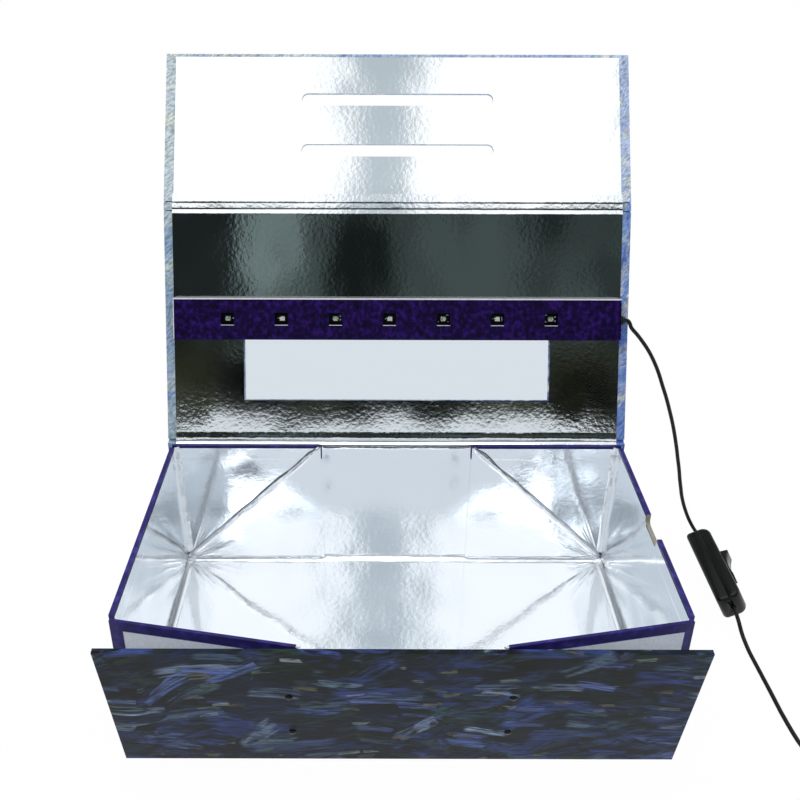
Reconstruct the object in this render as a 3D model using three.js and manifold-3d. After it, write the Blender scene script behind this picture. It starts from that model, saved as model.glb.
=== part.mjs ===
// A folding sanitizer box for phones: a foil-lined board box that opens like a book, with a lamp bar
// under the lid, a window, a flap that closes over the front, and a cord with a rocker switch.
// Millimetres, +Z up. The front faces -Y. The origin is the middle of the underside.
import * as THREE from "three";
import { mergeVertices } from "three/addons/utils/BufferGeometryUtils.js";
import Module from "manifold-3d";

const wasm = await Module();
wasm.setup();

// ---------------------------------------------------------------- sizes

// The box
const trayWidth = 254;
const trayDepth = 128;
const wallHeight = 87;
const coverOverhang = 2;
const boardThickness = 2.2;
const linerThickness = 0.3;
const earThickness = 1.2;
const glueGap = 0.1;
const foldGap = 0.3;
const linerSetback = 0.8;
const edgeWrap = 1.2;
const cutOverrun = 2;

// How far the open box leans, in degrees
const frontLean = 9;
const lidLean = 21.6;
const spineLean = 4.7;
const frontEarLean = 12.78;

// Walls and their corner ears
const earClearance = 1.8;
const earRelief = 7;
const creaseInset = 0.4;
const sideHingeLift = 0.4;
const creaseStripNear = 0.6;
const creaseStripWidth = 3.2;
const creaseStripThickness = 0.3;
const tapeHeight = 5;
const tapeFoot = 3;
const tapeEndInset = 9;
const notchWidth = 18;
const notchDepth = 5.5;
const notchRadius = 2;

// Rivets and keeper plates of the front panel
const rivetEdge = 6.5;
const rivetFoot = 25;
const rivetRise = 28.7;
const rivetHeadRadius = 1.7;
const rivetHeadHeight = 0.9;
const rivetShankRadius = 1;
const rivetHoleRadius = 1.15;
const rivetFlangeRadius = 1.6;
const rivetFlangeHeight = 0.4;
const keeperEdge = 19.5;
const keeperWidth = 14;
const keeperHeight = 14;
const keeperThickness = 0.8;

// Lid
const lidHingeSetback = 0.6;
const lidHingeLift = 0.6;
const lidLength = 129.6;
const lidFoot = 1.5;
const lidLinerInset = 4.7;
const lidLinerEndInset = 1.3;
const windowWidth = 171.2;
const windowFoot = 23.7;
const windowHeight = 38.3;
const paneThickness = 0.4;
const paneLap = 6;
const hingeStripLeg = 6;
const hingeStripThickness = 0.3;

// Lamp bar
const barCentre = 70.3;
const barInset = 5.5;
const barWidth = 23.2;
const barFloor = 1;
const barLip = 1;
const barDepth = 4.7;
const barCoverThickness = 1;
const boardClearance = 0.5;
const lampBoardThickness = 1.6;
const lampBoardInset = 1.1;
const outletRoom = 9.6;
const lampCount = 7;
const lampPitch = 29.75;
const lampSize = 3.5;
const lampHeight = 1.2;
const lampSeat = 0.1;
const lampWindowWidth = 7.2;
const lampWindowHeight = 6.6;

// Cord outlet of the lamp bar
const grommetSetback = 0.6;
const grommetHeight = 3.4;
const grommetInnerRadius = 1.75;
const grommetInnerLength = 6;
const grommetFlangeRadius = 2.4;
const grommetFlangeLength = 1.2;
const grommetTailLength = 1.2;
const grommetTailRadius = 1.9;

// Flap
const spineLength = 5;
const spineThickness = 0.6;
const flapLength = 83.5;
const flapLinerInset = 5.4;
const flapLinerEndInset = 1.8;
const slotWidth = 7;
const slotEndRoom = 4.3;
const slotPitch = 28.7;
const upperSlotPlace = 57.6;
const magnetRadius = 6;
const magnetThickness = 1.5;
const magnetPlace = 74;
const pocketClearance = 0.2;

// Rocker switch on the cord. The cord's twist holds it up on one long edge.
const switchLength = 55;
const switchWidth = 16;
const switchThickness = 14;
const switchWall = 1.5;
const switchBackRadius = 2.6;
const switchFrontRadius = 5.2;
const switchBevel = 1.8;
const switchX = 188.1;
const switchY = 46.5;
const switchTurn = -90;
const switchRoll = 28;
const switchSeam = 0.3;
const cordHoleRadius = 1.5;
const rockerLength = 17.5;
const rockerWidth = 9.2;
const rockerRise = 5.6;
const rockerDish = 1.7;
const rockerSkirt = 0.8;
const rockerHubRadius = 2.6;
const rockerSideGap = 0.4;
const rockerEndGap = 0.85;
const rockerPivot = 4.2;
const rockerTilt = -10;
const pinRadius = 1;
const pinClearance = 0.1;
const pinEndGap = 0.3;

// Cord, coil, tie and plug
const cordRadius = 1.1;
const cordGap = 0.3;
const cordEntry = 1.2;
const cordStep = 7;
const coilX = 222.9;
const coilY = -100;
const coilLift = 0.8;
const coilInnerRadius = 12;
const coilPitch = 2.7;
const coilLayerRise = 2.65;
const coilLeadIn = 7;
const coilTailLevel = 8;
const coilTailDrop = 16;
const coilTailEnd = 4;
const plugAxisHeight = 5;
const tieThickness = 0.7;
const tieWidth = 6;
const tieClearance = 0.35;
const plugReliefRadius = 2.4;
const plugReliefLength = 8;
const plugBodyRadius = 4.8;
const plugBodyLength = 18;
const plugShoulder = 1.2;
const plugBarrelRadius = 2.75;
const plugBarrelBore = 2.1;
const plugBarrelLength = 9.5;
const plugBarrelSeat = 3;
const plugSocketRadius = 3.05;
const plugInsulatorBore = 1.05;
const plugInsulatorInset = 0.5;

// Counts
const coilLayers = 4;
const turnsPerLayer = 2.625;
const coilStepsPerTurn = 24;
const coilSides = 6;
const coilCheckPerTurn = 96;
const cordSides = 8;
const roundSteps = 24;
const smallRoundSteps = 12;
const arcSteps = 6;

// ---------------------------------------------------------------- places that follow from the sizes

const halfTray = trayWidth / 2;
const halfCover = halfTray + coverOverhang;
const linerBack = boardThickness + glueGap;
const linerFace = linerBack + linerThickness;
const earBack = linerFace + glueGap;
const earFace = earBack + earThickness;
const wallFoot = boardThickness + foldGap;
const earFoot = wallFoot + foldGap;
const hingeY = trayDepth / 2 + foldGap + boardThickness;
const earTop = wallHeight - foldGap;
const sideWallHalf = hingeY - earFace - earClearance;
const sideHingeX = halfTray - linerFace;
const sideHingeZ = linerFace + sideHingeLift;
const creaseSide = wallHeight - wallFoot;
const creaseTopX = halfTray - creaseSide;
const earOuterX = halfTray - creaseInset;
const insetAlong = creaseInset * Math.SQRT2;
const rivetX = creaseTopX + rivetEdge;
const keeperX = creaseTopX + keeperEdge;
const slotHalfLength = rivetX + slotEndRoom;
const lidHingeY = hingeY - lidHingeSetback;
const lidHingeZ = wallHeight + lidHingeLift;

// With the lid down, the flap hangs from the end of the spine and its magnets meet the keepers.
const closedFlapZ = lidHingeZ + spineLength * Math.sin(THREE.MathUtils.degToRad(spineLean));

const lowerSlotPlace = upperSlotPlace - slotPitch;
const rivetLow = rivetFoot;
const rivetHigh = rivetFoot + rivetRise;
const keeperPlace = closedFlapZ - magnetPlace;

const grommetPlace = barCentre - grommetSetback;
const notchCentre = lidHingeY - grommetPlace;

const barFootLevel = glueGap + linerThickness + glueGap;
const lampBoardLevel = barFootLevel + barFloor + glueGap;
const lampLevel = lampBoardLevel + lampBoardThickness + lampSeat;
const barCoverLevel = barFootLevel + barDepth + glueGap;

// ---------------------------------------------------------------- colours

function finish(color, roughness, metalness) {
  return new THREE.MeshStandardMaterial({ color, roughness, metalness });
}

const foil = finish("#c9cdd1", 0.2, 1);
const print = finish("#2e3f6e", 0.6, 0);
const frontPrint = finish("#232b45", 0.6, 0);
const barPlastic = finish("#1d1a24", 0.5, 0);
const barPrint = finish("#2a1d55", 0.4, 0);
const boardGreen = finish("#1d2a26", 0.5, 0);
const lampWhite = finish("#d9ddcf", 0.35, 0);
const clearPane = finish("#dfe5ea", 0.1, 0);
const blackPlastic = finish("#171816", 0.4, 0);
const cordBlack = finish("#151613", 0.45, 0);
const darkMetal = finish("#30323a", 0.4, 1);
const steel = finish("#b9bcc0", 0.3, 1);
const tieWhite = finish("#22231f", 0.6, 0);

// ---------------------------------------------------------------- shape makers

const root = new THREE.Group();

function add(parent, name, geometry, material) {
  const mesh = new THREE.Mesh(geometry, material);
  mesh.name = name;
  parent.add(mesh);
  return mesh;
}

function shapeOf(points, holes = []) {
  const shape = new THREE.Shape(points.map(([a, b]) => new THREE.Vector2(a, b)));
  shape.holes = holes;
  return shape;
}

function rectangle(a0, a1, b0, b1) {
  return [[a0, b0], [a1, b0], [a1, b1], [a0, b1]];
}

function extrude(shape, depth) {
  return new THREE.ExtrudeGeometry(shape, { depth, bevelEnabled: false, curveSegments: arcSteps });
}

// A sheet that stands: outline in (x, z), thickness from y0 to y1.
function sheet(shape, y0, y1) {
  const geometry = extrude(shape, y1 - y0);
  geometry.rotateX(Math.PI / 2);
  geometry.translate(0, y1, 0);
  return geometry;
}

// A sheet that lies: outline in (x, y), thickness from z0 to z1.
function slab(shape, z0, z1) {
  const geometry = extrude(shape, z1 - z0);
  geometry.translate(0, 0, z0);
  return geometry;
}

// A profile in (y, z) drawn out from x0 to x1.
function drawn(shape, x0, x1) {
  const geometry = extrude(shape, x1 - x0);
  const turn = new THREE.Matrix4().makeBasis(
    new THREE.Vector3(0, 1, 0),
    new THREE.Vector3(0, 0, 1),
    new THREE.Vector3(1, 0, 0),
  );
  geometry.applyMatrix4(turn);
  geometry.translate(x0, 0, 0);
  return geometry;
}

function roundHole(x, z, radius) {
  const hole = new THREE.Path();
  hole.absarc(x, z, radius, 0, 2 * Math.PI, false);
  return hole;
}

// A round piece about an axis: profile points are (radius, place along +Y).
function turned(points, steps) {
  return new THREE.LatheGeometry(points.map(([r, y]) => new THREE.Vector2(r, y)), steps);
}

function solidOf(geometry) {
  const bare = geometry.index ? geometry.toNonIndexed() : geometry.clone();
  bare.deleteAttribute("normal");
  bare.deleteAttribute("uv");
  const merged = mergeVertices(bare);
  return new wasm.Manifold(
    new wasm.Mesh({
      numProp: 3,
      vertProperties: merged.attributes.position.array,
      triVerts: new Uint32Array(merged.index.array),
    }),
  );
}

function geometryOf(solid) {
  const mesh = solid.getMesh();
  const geometry = new THREE.BufferGeometry();
  geometry.setAttribute("position", new THREE.BufferAttribute(new Float32Array(mesh.vertProperties), 3));
  geometry.setIndex(new THREE.BufferAttribute(new Uint32Array(mesh.triVerts), 1));
  const faceted = geometry.toNonIndexed();
  faceted.computeVertexNormals();
  return faceted;
}

function cut(geometry, ...tools) {
  return geometryOf(tools.reduce((solid, tool) => solid.subtract(solidOf(tool)), solidOf(geometry)));
}

function box(x0, x1, y0, y1, z0, z1) {
  const geometry = new THREE.BoxGeometry(x1 - x0, y1 - y0, z1 - z0);
  geometry.translate((x0 + x1) / 2, (y0 + y1) / 2, (z0 + z1) / 2);
  return geometry;
}

// ---------------------------------------------------------------- base

add(
  root,
  "base_board",
  slab(shapeOf(rectangle(-halfCover, halfCover, -trayDepth / 2, trayDepth / 2)), 0, boardThickness),
  print,
);
const baseLinerX = sideHingeX - linerSetback;
const baseLinerY = hingeY - earFace - linerSetback;
add(
  root,
  "base_liner",
  slab(shapeOf(rectangle(-baseLinerX, baseLinerX, -baseLinerY, baseLinerY)), linerBack, linerFace),
  foil,
);

// ---------------------------------------------------------------- side walls

// Each side wall stands on a fold at its inner lower edge. The right one has a notch in its top edge,
// where the cord comes through when the lid is down.
const notchFloor = wallHeight - notchDepth;

function sideOutline(top, notched) {
  const z0 = wallFoot - sideHingeZ;
  const z1 = top - sideHingeZ;
  const shape = new THREE.Shape();
  shape.moveTo(-sideWallHalf, z0);
  shape.lineTo(sideWallHalf, z0);
  shape.lineTo(sideWallHalf, z1);
  if (notched) {
    const near = notchCentre - notchWidth / 2;
    const far = notchCentre + notchWidth / 2;
    const floor = notchFloor - sideHingeZ;
    shape.lineTo(far, z1);
    shape.lineTo(far, floor + notchRadius);
    shape.absarc(far - notchRadius, floor + notchRadius, notchRadius, 0, -Math.PI / 2, true);
    shape.lineTo(near + notchRadius, floor);
    shape.absarc(near + notchRadius, floor + notchRadius, notchRadius, -Math.PI / 2, -Math.PI, true);
    shape.lineTo(near, z1);
  }
  shape.lineTo(-sideWallHalf, z1);
  shape.closePath();
  return shape;
}

function sideWall(label, side) {
  const group = new THREE.Group();
  group.position.set(side * sideHingeX, 0, sideHingeZ);
  root.add(group);
  const notched = side > 0;
  const spans = [
    [label + "_wall_board", linerThickness + glueGap, linerFace, wallHeight, print],
    [label + "_wall_liner", 0, linerThickness, wallHeight - edgeWrap, foil],
  ];
  for (const [name, inner, outer, top, material] of spans) {
    const x0 = Math.min(side * inner, side * outer);
    const x1 = Math.max(side * inner, side * outer);
    add(group, name, drawn(sideOutline(top, notched), x0, x1), material);
  }
}

sideWall("left", -1);
sideWall("right", 1);

// ---------------------------------------------------------------- corner ears

// A corner ear is a square of card with a crease from the bottom corner of the box to the top edge. The
// part below the crease is glued to the wall, and the part above folds over it when the box lies flat.
function gluedEar(side) {
  const inner = side * creaseTopX;
  const low = side * (earOuterX - insetAlong);
  return shapeOf(ordered([
    [inner, earFoot],
    [side * (halfTray - insetAlong - foldGap), earFoot],
    [low, wallFoot + creaseInset],
    [inner, wallHeight - insetAlong],
  ]));
}

function foldEar(side) {
  const reliefZ = wallFoot + earRelief;
  const reliefX = halfTray - earRelief;
  return shapeOf(ordered([
    [side * (reliefX + insetAlong), reliefZ],
    [side * earOuterX, reliefZ],
    [side * earOuterX, earTop],
    [side * (creaseTopX + foldGap + insetAlong), earTop],
  ]));
}

// A strip of foil tape along the crease, on the folding part.
function creaseStrip(side) {
  const near = creaseStripNear * Math.SQRT2;
  const far = (creaseStripNear + creaseStripWidth) * Math.SQRT2;
  const reliefZ = wallFoot + earRelief;
  const reliefX = halfTray - earRelief;
  return shapeOf(ordered([
    [side * (reliefX + near), reliefZ],
    [side * (reliefX + far), reliefZ],
    [side * (creaseTopX + foldGap + far), earTop],
    [side * (creaseTopX + foldGap + near), earTop],
  ]));
}

// Points that run counter-clockwise, whichever side they were mirrored to.
function ordered(points) {
  const turn = points.reduce((sum, [x, z], i) => {
    const [nextX, nextZ] = points[(i + 1) % points.length];
    return sum + x * nextZ - nextX * z;
  }, 0);
  return turn > 0 ? points : points.slice().reverse();
}

// A group that turns by `degrees` about the crease, for pieces drawn in the wall's own place.
function creaseGroup(parent, side, face, degrees) {
  const outer = new THREE.Group();
  outer.position.set(side * halfTray, face, wallFoot);
  const axis = new THREE.Vector3(-1, 0, side).normalize();
  outer.quaternion.setFromAxisAngle(axis, degrees);
  parent.add(outer);
  const inner = new THREE.Group();
  inner.position.set(-side * halfTray, -face, -wallFoot);
  outer.add(inner);
  return inner;
}

// ---------------------------------------------------------------- back wall

const backGroup = new THREE.Group();
backGroup.position.set(0, hingeY, 0);
root.add(backGroup);

add(
  backGroup,
  "back_board",
  sheet(shapeOf(rectangle(-halfCover, halfCover, foldGap, wallHeight)), -boardThickness, 0),
  print,
);
add(
  backGroup,
  "back_liner",
  sheet(
    shapeOf(rectangle(-sideHingeX + foldGap, sideHingeX - foldGap, earFoot, wallHeight - edgeWrap)),
    -linerFace,
    -linerBack,
  ),
  foil,
);
for (const [label, side] of [["left", -1], ["right", 1]]) {
  add(backGroup, "back_" + label + "_ear_glued", sheet(gluedEar(side), -earFace, -earBack), foil);
  add(backGroup, "back_" + label + "_ear_fold", sheet(foldEar(side), -earFace, -earBack), foil);
}

// ---------------------------------------------------------------- front panel

const frontGroup = new THREE.Group();
frontGroup.position.set(0, -hingeY, 0);
frontGroup.rotation.x = THREE.MathUtils.degToRad(frontLean);
root.add(frontGroup);

const rivetPlaces = [
  [-rivetX, rivetHigh],
  [rivetX, rivetHigh],
  [-rivetX, rivetLow],
  [rivetX, rivetLow],
];

function rivetHoles() {
  return rivetPlaces.map(([x, z]) => roundHole(x, z, rivetHoleRadius));
}

function pocket(x, z, width, height, y0, y1) {
  return box(x - width / 2, x + width / 2, y0, y1, z - height / 2, z + height / 2);
}

const keeperPocketDepth = keeperThickness + pocketClearance;
const keeperPockets = [-keeperX, keeperX].map((x) =>
  pocket(
    x,
    keeperPlace,
    keeperWidth + 2 * pocketClearance,
    keeperHeight + 2 * pocketClearance,
    boardThickness - keeperPocketDepth,
    boardThickness + cutOverrun,
  ),
);
add(
  frontGroup,
  "front_board",
  cut(
    sheet(
      shapeOf(rectangle(-halfCover, halfCover, foldGap, wallHeight), rivetHoles()),
      0,
      boardThickness,
    ),
    ...keeperPockets,
  ),
  frontPrint,
);
add(
  frontGroup,
  "front_liner",
  sheet(
    shapeOf(
      rectangle(-sideHingeX + foldGap, sideHingeX - foldGap, earFoot, wallHeight - edgeWrap),
      rivetHoles(),
    ),
    linerBack,
    linerFace,
  ),
  foil,
);

// The folding ears lean in with the side walls.
for (const [label, side] of [["left", -1], ["right", 1]]) {
  const shape = gluedEar(side);
  shape.holes = rivetPlaces
    .filter(([x]) => Math.sign(x) === side)
    .map(([x, z]) => roundHole(x, z, rivetHoleRadius));
  add(frontGroup, "front_" + label + "_ear_glued", sheet(shape, earBack, earFace), foil);
  const crease = creaseGroup(frontGroup, side, earFace, THREE.MathUtils.degToRad(frontEarLean));
  add(
    crease,
    "front_" + label + "_crease",
    sheet(creaseStrip(side), earFace + glueGap, earFace + glueGap + creaseStripThickness),
    foil,
  );
  add(crease, "front_" + label + "_ear_fold", sheet(foldEar(side), earBack, earFace), foil);
}

// A strip of foil along the bottom fold.
const tapeHalf = halfTray - tapeEndInset;
add(
  frontGroup,
  "front_hinge_tape",
  sheet(
    shapeOf(rectangle(-tapeHalf, tapeHalf, tapeFoot, tapeFoot + tapeHeight)),
    earFace + glueGap,
    earFace + glueGap + linerThickness,
  ),
  foil,
);

// Domed rivets, clinched on the inside.
function rivetProfile() {
  const shankEnd = earFace + glueGap;
  const points = [[0, -glueGap - rivetHeadHeight]];
  for (let i = 1; i <= arcSteps; i += 1) {
    const angle = (i / arcSteps) * (Math.PI / 2);
    points.push([
      rivetHeadRadius * Math.sin(angle),
      -glueGap - rivetHeadHeight * Math.cos(angle),
    ]);
  }
  points.push([rivetShankRadius, -glueGap]);
  points.push([rivetShankRadius, shankEnd]);
  points.push([rivetFlangeRadius, shankEnd]);
  points.push([rivetFlangeRadius, shankEnd + rivetFlangeHeight / 2]);
  points.push([rivetShankRadius, shankEnd + rivetFlangeHeight]);
  points.push([0, shankEnd + rivetFlangeHeight]);
  return points;
}
rivetPlaces.forEach(([x, z], i) => {
  const rivet = turned(rivetProfile(), smallRoundSteps);
  rivet.translate(x, 0, z);
  add(frontGroup, "front_rivet_" + (i + 1), rivet, darkMetal);
});

// Steel keeper plates in pockets under the liner, which the magnets of the flap hold to.
for (const [label, side] of [["left", -1], ["right", 1]]) {
  const y1 = boardThickness - glueGap;
  add(
    frontGroup,
    "front_keeper_" + label,
    pocket(side * keeperX, keeperPlace, keeperWidth, keeperHeight, y1 - keeperThickness, y1),
    steel,
  );
}

// ---------------------------------------------------------------- lid

const lidGroup = new THREE.Group();
lidGroup.position.set(0, lidHingeY, lidHingeZ);
lidGroup.rotation.x = THREE.MathUtils.degToRad(-lidLean);
root.add(lidGroup);

const windowTop = windowFoot + windowHeight;
const windowHalf = windowWidth / 2;
const paneHalf = windowHalf + paneLap;
const paneDepth = paneThickness + 2 * glueGap;

add(
  lidGroup,
  "lid_board",
  cut(
    sheet(shapeOf(rectangle(-halfCover, halfCover, lidFoot, lidLength - foldGap)), 0, boardThickness),
    box(-windowHalf, windowHalf, -cutOverrun, boardThickness + cutOverrun, windowFoot, windowTop),
    box(-paneHalf, paneHalf, -cutOverrun, paneDepth, windowFoot - paneLap, windowTop + paneLap),
  ),
  print,
);
add(
  lidGroup,
  "lid_liner",
  sheet(
    shapeOf(
      rectangle(
        -halfCover + lidLinerInset,
        halfCover - lidLinerInset,
        lidFoot + foldGap,
        lidLength - foldGap - lidLinerEndInset,
      ),
      [shapeOf(rectangle(-windowHalf, windowHalf, windowFoot, windowTop))],
    ),
    -glueGap - linerThickness,
    -glueGap,
  ),
  foil,
);
const paneEdge = paneHalf - foldGap;
add(
  lidGroup,
  "window_pane",
  sheet(
    shapeOf(rectangle(-paneEdge, paneEdge, windowFoot - paneLap + foldGap, windowTop + paneLap - foldGap)),
    glueGap,
    glueGap + paneThickness,
  ),
  clearPane,
);

// The cover's outer paper runs on over the fold between back wall and lid.
const lean = THREE.MathUtils.degToRad(lidLean);
function onLid(out, along) {
  return new THREE.Vector2(
    lidHingeY + out * Math.cos(lean) + along * Math.sin(lean),
    lidHingeZ - out * Math.sin(lean) + along * Math.cos(lean),
  );
}

// A band of even thickness to the right of a line of points.
function band(points, thickness) {
  const sides = points.map((point, i) => {
    const before = points[Math.max(i - 1, 0)];
    const after = points[Math.min(i + 1, points.length - 1)];
    const one = point.clone().sub(before);
    const two = after.clone().sub(point);
    if (one.length() === 0) one.copy(two);
    if (two.length() === 0) two.copy(one);
    one.normalize();
    two.normalize();
    const normal = new THREE.Vector2(one.y + two.y, -one.x - two.x).normalize();
    const stretch = 1 / (normal.x * one.y - normal.y * one.x);
    return point.clone().addScaledVector(normal, thickness * stretch);
  });
  return new THREE.Shape([...sides, ...points.slice().reverse()]);
}

const stripOut = boardThickness + glueGap;
const hingeLine = [
  new THREE.Vector2(hingeY + glueGap, wallHeight - hingeStripLeg),
  new THREE.Vector2(hingeY + glueGap, wallHeight - glueGap),
  onLid(stripOut, lidFoot - glueGap),
  onLid(stripOut, lidFoot + hingeStripLeg - glueGap),
];
add(
  root,
  "lid_hinge_strip",
  drawn(band(hingeLine, hingeStripThickness), -halfCover, halfCover),
  print,
);

// ---------------------------------------------------------------- lamp bar

const barHalf = halfCover - barInset;
const barLow = barCentre - barWidth / 2;
const barHigh = barCentre + barWidth / 2;

// A shallow channel: profile in (y, z), its back on the lid's liner.
add(
  lidGroup,
  "led_bar_carrier",
  drawn(
    shapeOf(ordered([
      [-barFootLevel, barLow],
      [-barFootLevel, barHigh],
      [-barFootLevel - barDepth, barHigh],
      [-barFootLevel - barDepth, barHigh - barLip],
      [-barFootLevel - barFloor, barHigh - barLip],
      [-barFootLevel - barFloor, barLow + barLip],
      [-barFootLevel - barDepth, barLow + barLip],
      [-barFootLevel - barDepth, barLow],
    ])),
    -barHalf,
    barHalf,
  ),
  barPlastic,
);
const lampBoardHalf = barWidth / 2 - barLip - boardClearance;
const lampBoardStart = -barHalf + lampBoardInset;
const lampBoardEnd = barHalf - outletRoom;
add(
  lidGroup,
  "led_pcb",
  sheet(
    shapeOf(
      rectangle(lampBoardStart, lampBoardEnd, barCentre - lampBoardHalf, barCentre + lampBoardHalf),
    ),
    -lampBoardLevel - lampBoardThickness,
    -lampBoardLevel,
  ),
  boardGreen,
);
const lampPlaces = Array.from(
  { length: lampCount },
  (_, i) => (lampBoardStart + lampBoardEnd) / 2 + (i - (lampCount - 1) / 2) * lampPitch,
);
add(
  lidGroup,
  "led_label_cover",
  cut(
    sheet(
      shapeOf(rectangle(-barHalf, barHalf, barLow, barHigh)),
      -barCoverLevel - barCoverThickness,
      -barCoverLevel,
    ),
    ...lampPlaces.map((x) =>
      box(
        x - lampWindowWidth / 2,
        x + lampWindowWidth / 2,
        -barCoverLevel - barCoverThickness - cutOverrun,
        -barCoverLevel + cutOverrun,
        barCentre - lampWindowHeight / 2,
        barCentre + lampWindowHeight / 2,
      ),
    ),
  ),
  barPrint,
);

// A lamp: a square package with a smaller domed lens on it.
const lampBodyShare = 0.6;
const lampLensShare = 0.62;
const lampBodyHeight = lampHeight * lampBodyShare;
const lampLensRadius = (lampSize / 2) * lampLensShare;
function lamp() {
  const body = box(-lampSize / 2, lampSize / 2, -lampBodyHeight, 0, -lampSize / 2, lampSize / 2);
  const points = [[0, -lampHeight]];
  for (let i = 1; i <= arcSteps / 2; i += 1) {
    const angle = (i / (arcSteps / 2)) * (Math.PI / 2);
    points.push([
      lampLensRadius * Math.sin(angle),
      -lampBodyHeight - (lampHeight - lampBodyHeight) * Math.cos(angle),
    ]);
  }
  points.push([lampLensRadius, -lampBodyHeight / 2]);
  points.push([0, -lampBodyHeight / 2]);
  return geometryOf(solidOf(body).add(solidOf(turned(points, smallRoundSteps))));
}
lampPlaces.forEach((x, i) => {
  const mesh = add(lidGroup, "led_" + (i + 1), lamp(), lampWhite);
  mesh.position.set(x, -lampLevel, barCentre);
});

// The grommet sits in the open end of the channel and its flange stands outside.
const grommetEnd = barHalf + foldGap + grommetFlangeLength + grommetTailLength;
const grommet = turned(
  [
    [0, barHalf - grommetInnerLength],
    [grommetInnerRadius, barHalf - grommetInnerLength],
    [grommetInnerRadius, barHalf + foldGap],
    [grommetFlangeRadius, barHalf + foldGap],
    [grommetFlangeRadius, barHalf + foldGap + grommetFlangeLength],
    [grommetTailRadius, grommetEnd],
    [0, grommetEnd],
  ],
  smallRoundSteps,
);
grommet.rotateZ(-Math.PI / 2);
const grommetMesh = add(lidGroup, "cord_grommet", grommet, blackPlastic);
grommetMesh.position.set(0, -grommetHeight, grommetPlace);

// ---------------------------------------------------------------- spine and flap

const spineGroup = new THREE.Group();
spineGroup.position.set(0, 0, lidLength);
spineGroup.rotation.x = THREE.MathUtils.degToRad(-spineLean);
lidGroup.add(spineGroup);
add(
  spineGroup,
  "lid_spine",
  sheet(shapeOf(rectangle(-halfCover, halfCover, foldGap, spineLength - foldGap)), 0, spineThickness),
  print,
);

const flapGroup = new THREE.Group();
flapGroup.position.set(0, 0, spineLength);
flapGroup.rotation.x = THREE.MathUtils.degToRad(-spineLean);
spineGroup.add(flapGroup);

// Two long slots with round ends, which take the rivet heads when the flap is down.
function slotShape(place, widening) {
  const radius = slotWidth / 2 + widening;
  const centre = slotHalfLength - slotWidth / 2;
  const shape = new THREE.Shape();
  shape.moveTo(-centre, place - radius);
  shape.lineTo(centre, place - radius);
  shape.absarc(centre, place, radius, -Math.PI / 2, Math.PI / 2, false);
  shape.lineTo(-centre, place + radius);
  shape.absarc(-centre, place, radius, Math.PI / 2, (3 * Math.PI) / 2, false);
  shape.closePath();
  return shape;
}

const magnetPocketDepth = magnetThickness + pocketClearance;
const magnetPockets = [-keeperX, keeperX].map((x) => {
  const hole = turned(
    [
      [0, -cutOverrun],
      [magnetRadius + pocketClearance, -cutOverrun],
      [magnetRadius + pocketClearance, magnetPocketDepth],
      [0, magnetPocketDepth],
    ],
    roundSteps,
  );
  hole.translate(x, 0, magnetPlace);
  return hole;
});
add(
  flapGroup,
  "flap_board",
  cut(
    sheet(
      shapeOf(rectangle(-halfCover, halfCover, foldGap, flapLength), [
        slotShape(upperSlotPlace, 0),
        slotShape(lowerSlotPlace, 0),
      ]),
      0,
      boardThickness,
    ),
    ...magnetPockets,
  ),
  print,
);
add(
  flapGroup,
  "flap_liner",
  sheet(
    shapeOf(
      rectangle(
        -halfCover + flapLinerInset,
        halfCover - flapLinerInset,
        lidFoot,
        flapLength - flapLinerEndInset,
      ),
      [slotShape(upperSlotPlace, 0), slotShape(lowerSlotPlace, 0)],
    ),
    -glueGap - linerThickness,
    -glueGap,
  ),
  foil,
);
for (const [label, side] of [["left", -1], ["right", 1]]) {
  const magnet = turned(
    [
      [0, glueGap],
      [magnetRadius, glueGap],
      [magnetRadius, glueGap + magnetThickness],
      [0, glueGap + magnetThickness],
    ],
    roundSteps,
  );
  const mesh = add(flapGroup, "flap_magnet_" + label, magnet, steel);
  mesh.position.set(side * keeperX, 0, magnetPlace);
}

// ---------------------------------------------------------------- switch

// Local X runs along the cord, local Y points to the rocker's side, local Z is across the case.
const caseHalf = switchThickness / 2;
const roll = THREE.MathUtils.degToRad(switchRoll);
const switchLift =
  switchBevel +
  (caseHalf - switchBevel) * Math.sin(roll) +
  (switchWidth / 2 - switchBevel) * Math.cos(roll) +
  glueGap;
const switchGroup = new THREE.Group();
switchGroup.position.set(switchX, switchY, switchLift);
switchGroup.rotation.order = "ZYX";
switchGroup.rotation.set(roll, 0, THREE.MathUtils.degToRad(switchTurn));
root.add(switchGroup);

// The case seen from its long side, drawn in by `inset`: tight corners at the back, wide ones in front.
function caseOutline(inset) {
  const end = switchLength / 2 - inset;
  const face = caseHalf - inset;
  const back = switchBackRadius - inset;
  const front = switchFrontRadius - inset;
  const shape = new THREE.Shape();
  shape.moveTo(-end + back, -face);
  shape.lineTo(end - back, -face);
  shape.absarc(end - back, -face + back, back, -Math.PI / 2, 0, false);
  shape.lineTo(end, face - front);
  shape.absarc(end - front, face - front, front, 0, Math.PI / 2, false);
  shape.lineTo(-end + front, face);
  shape.absarc(-end + front, face - front, front, Math.PI / 2, Math.PI, false);
  shape.lineTo(-end, -face + back);
  shape.absarc(-end + back, -face + back, back, Math.PI, 1.5 * Math.PI, false);
  shape.closePath();
  return shape;
}

// The whole case, its two long sides rounded off.
function switchCase() {
  const geometry = new THREE.ExtrudeGeometry(caseOutline(switchBevel), {
    depth: switchWidth - 2 * switchBevel,
    bevelEnabled: true,
    bevelThickness: switchBevel,
    bevelSize: switchBevel,
    bevelSegments: 3,
    curveSegments: arcSteps,
  });
  geometry.translate(0, 0, -(switchWidth / 2 - switchBevel));
  return geometry;
}

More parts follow.
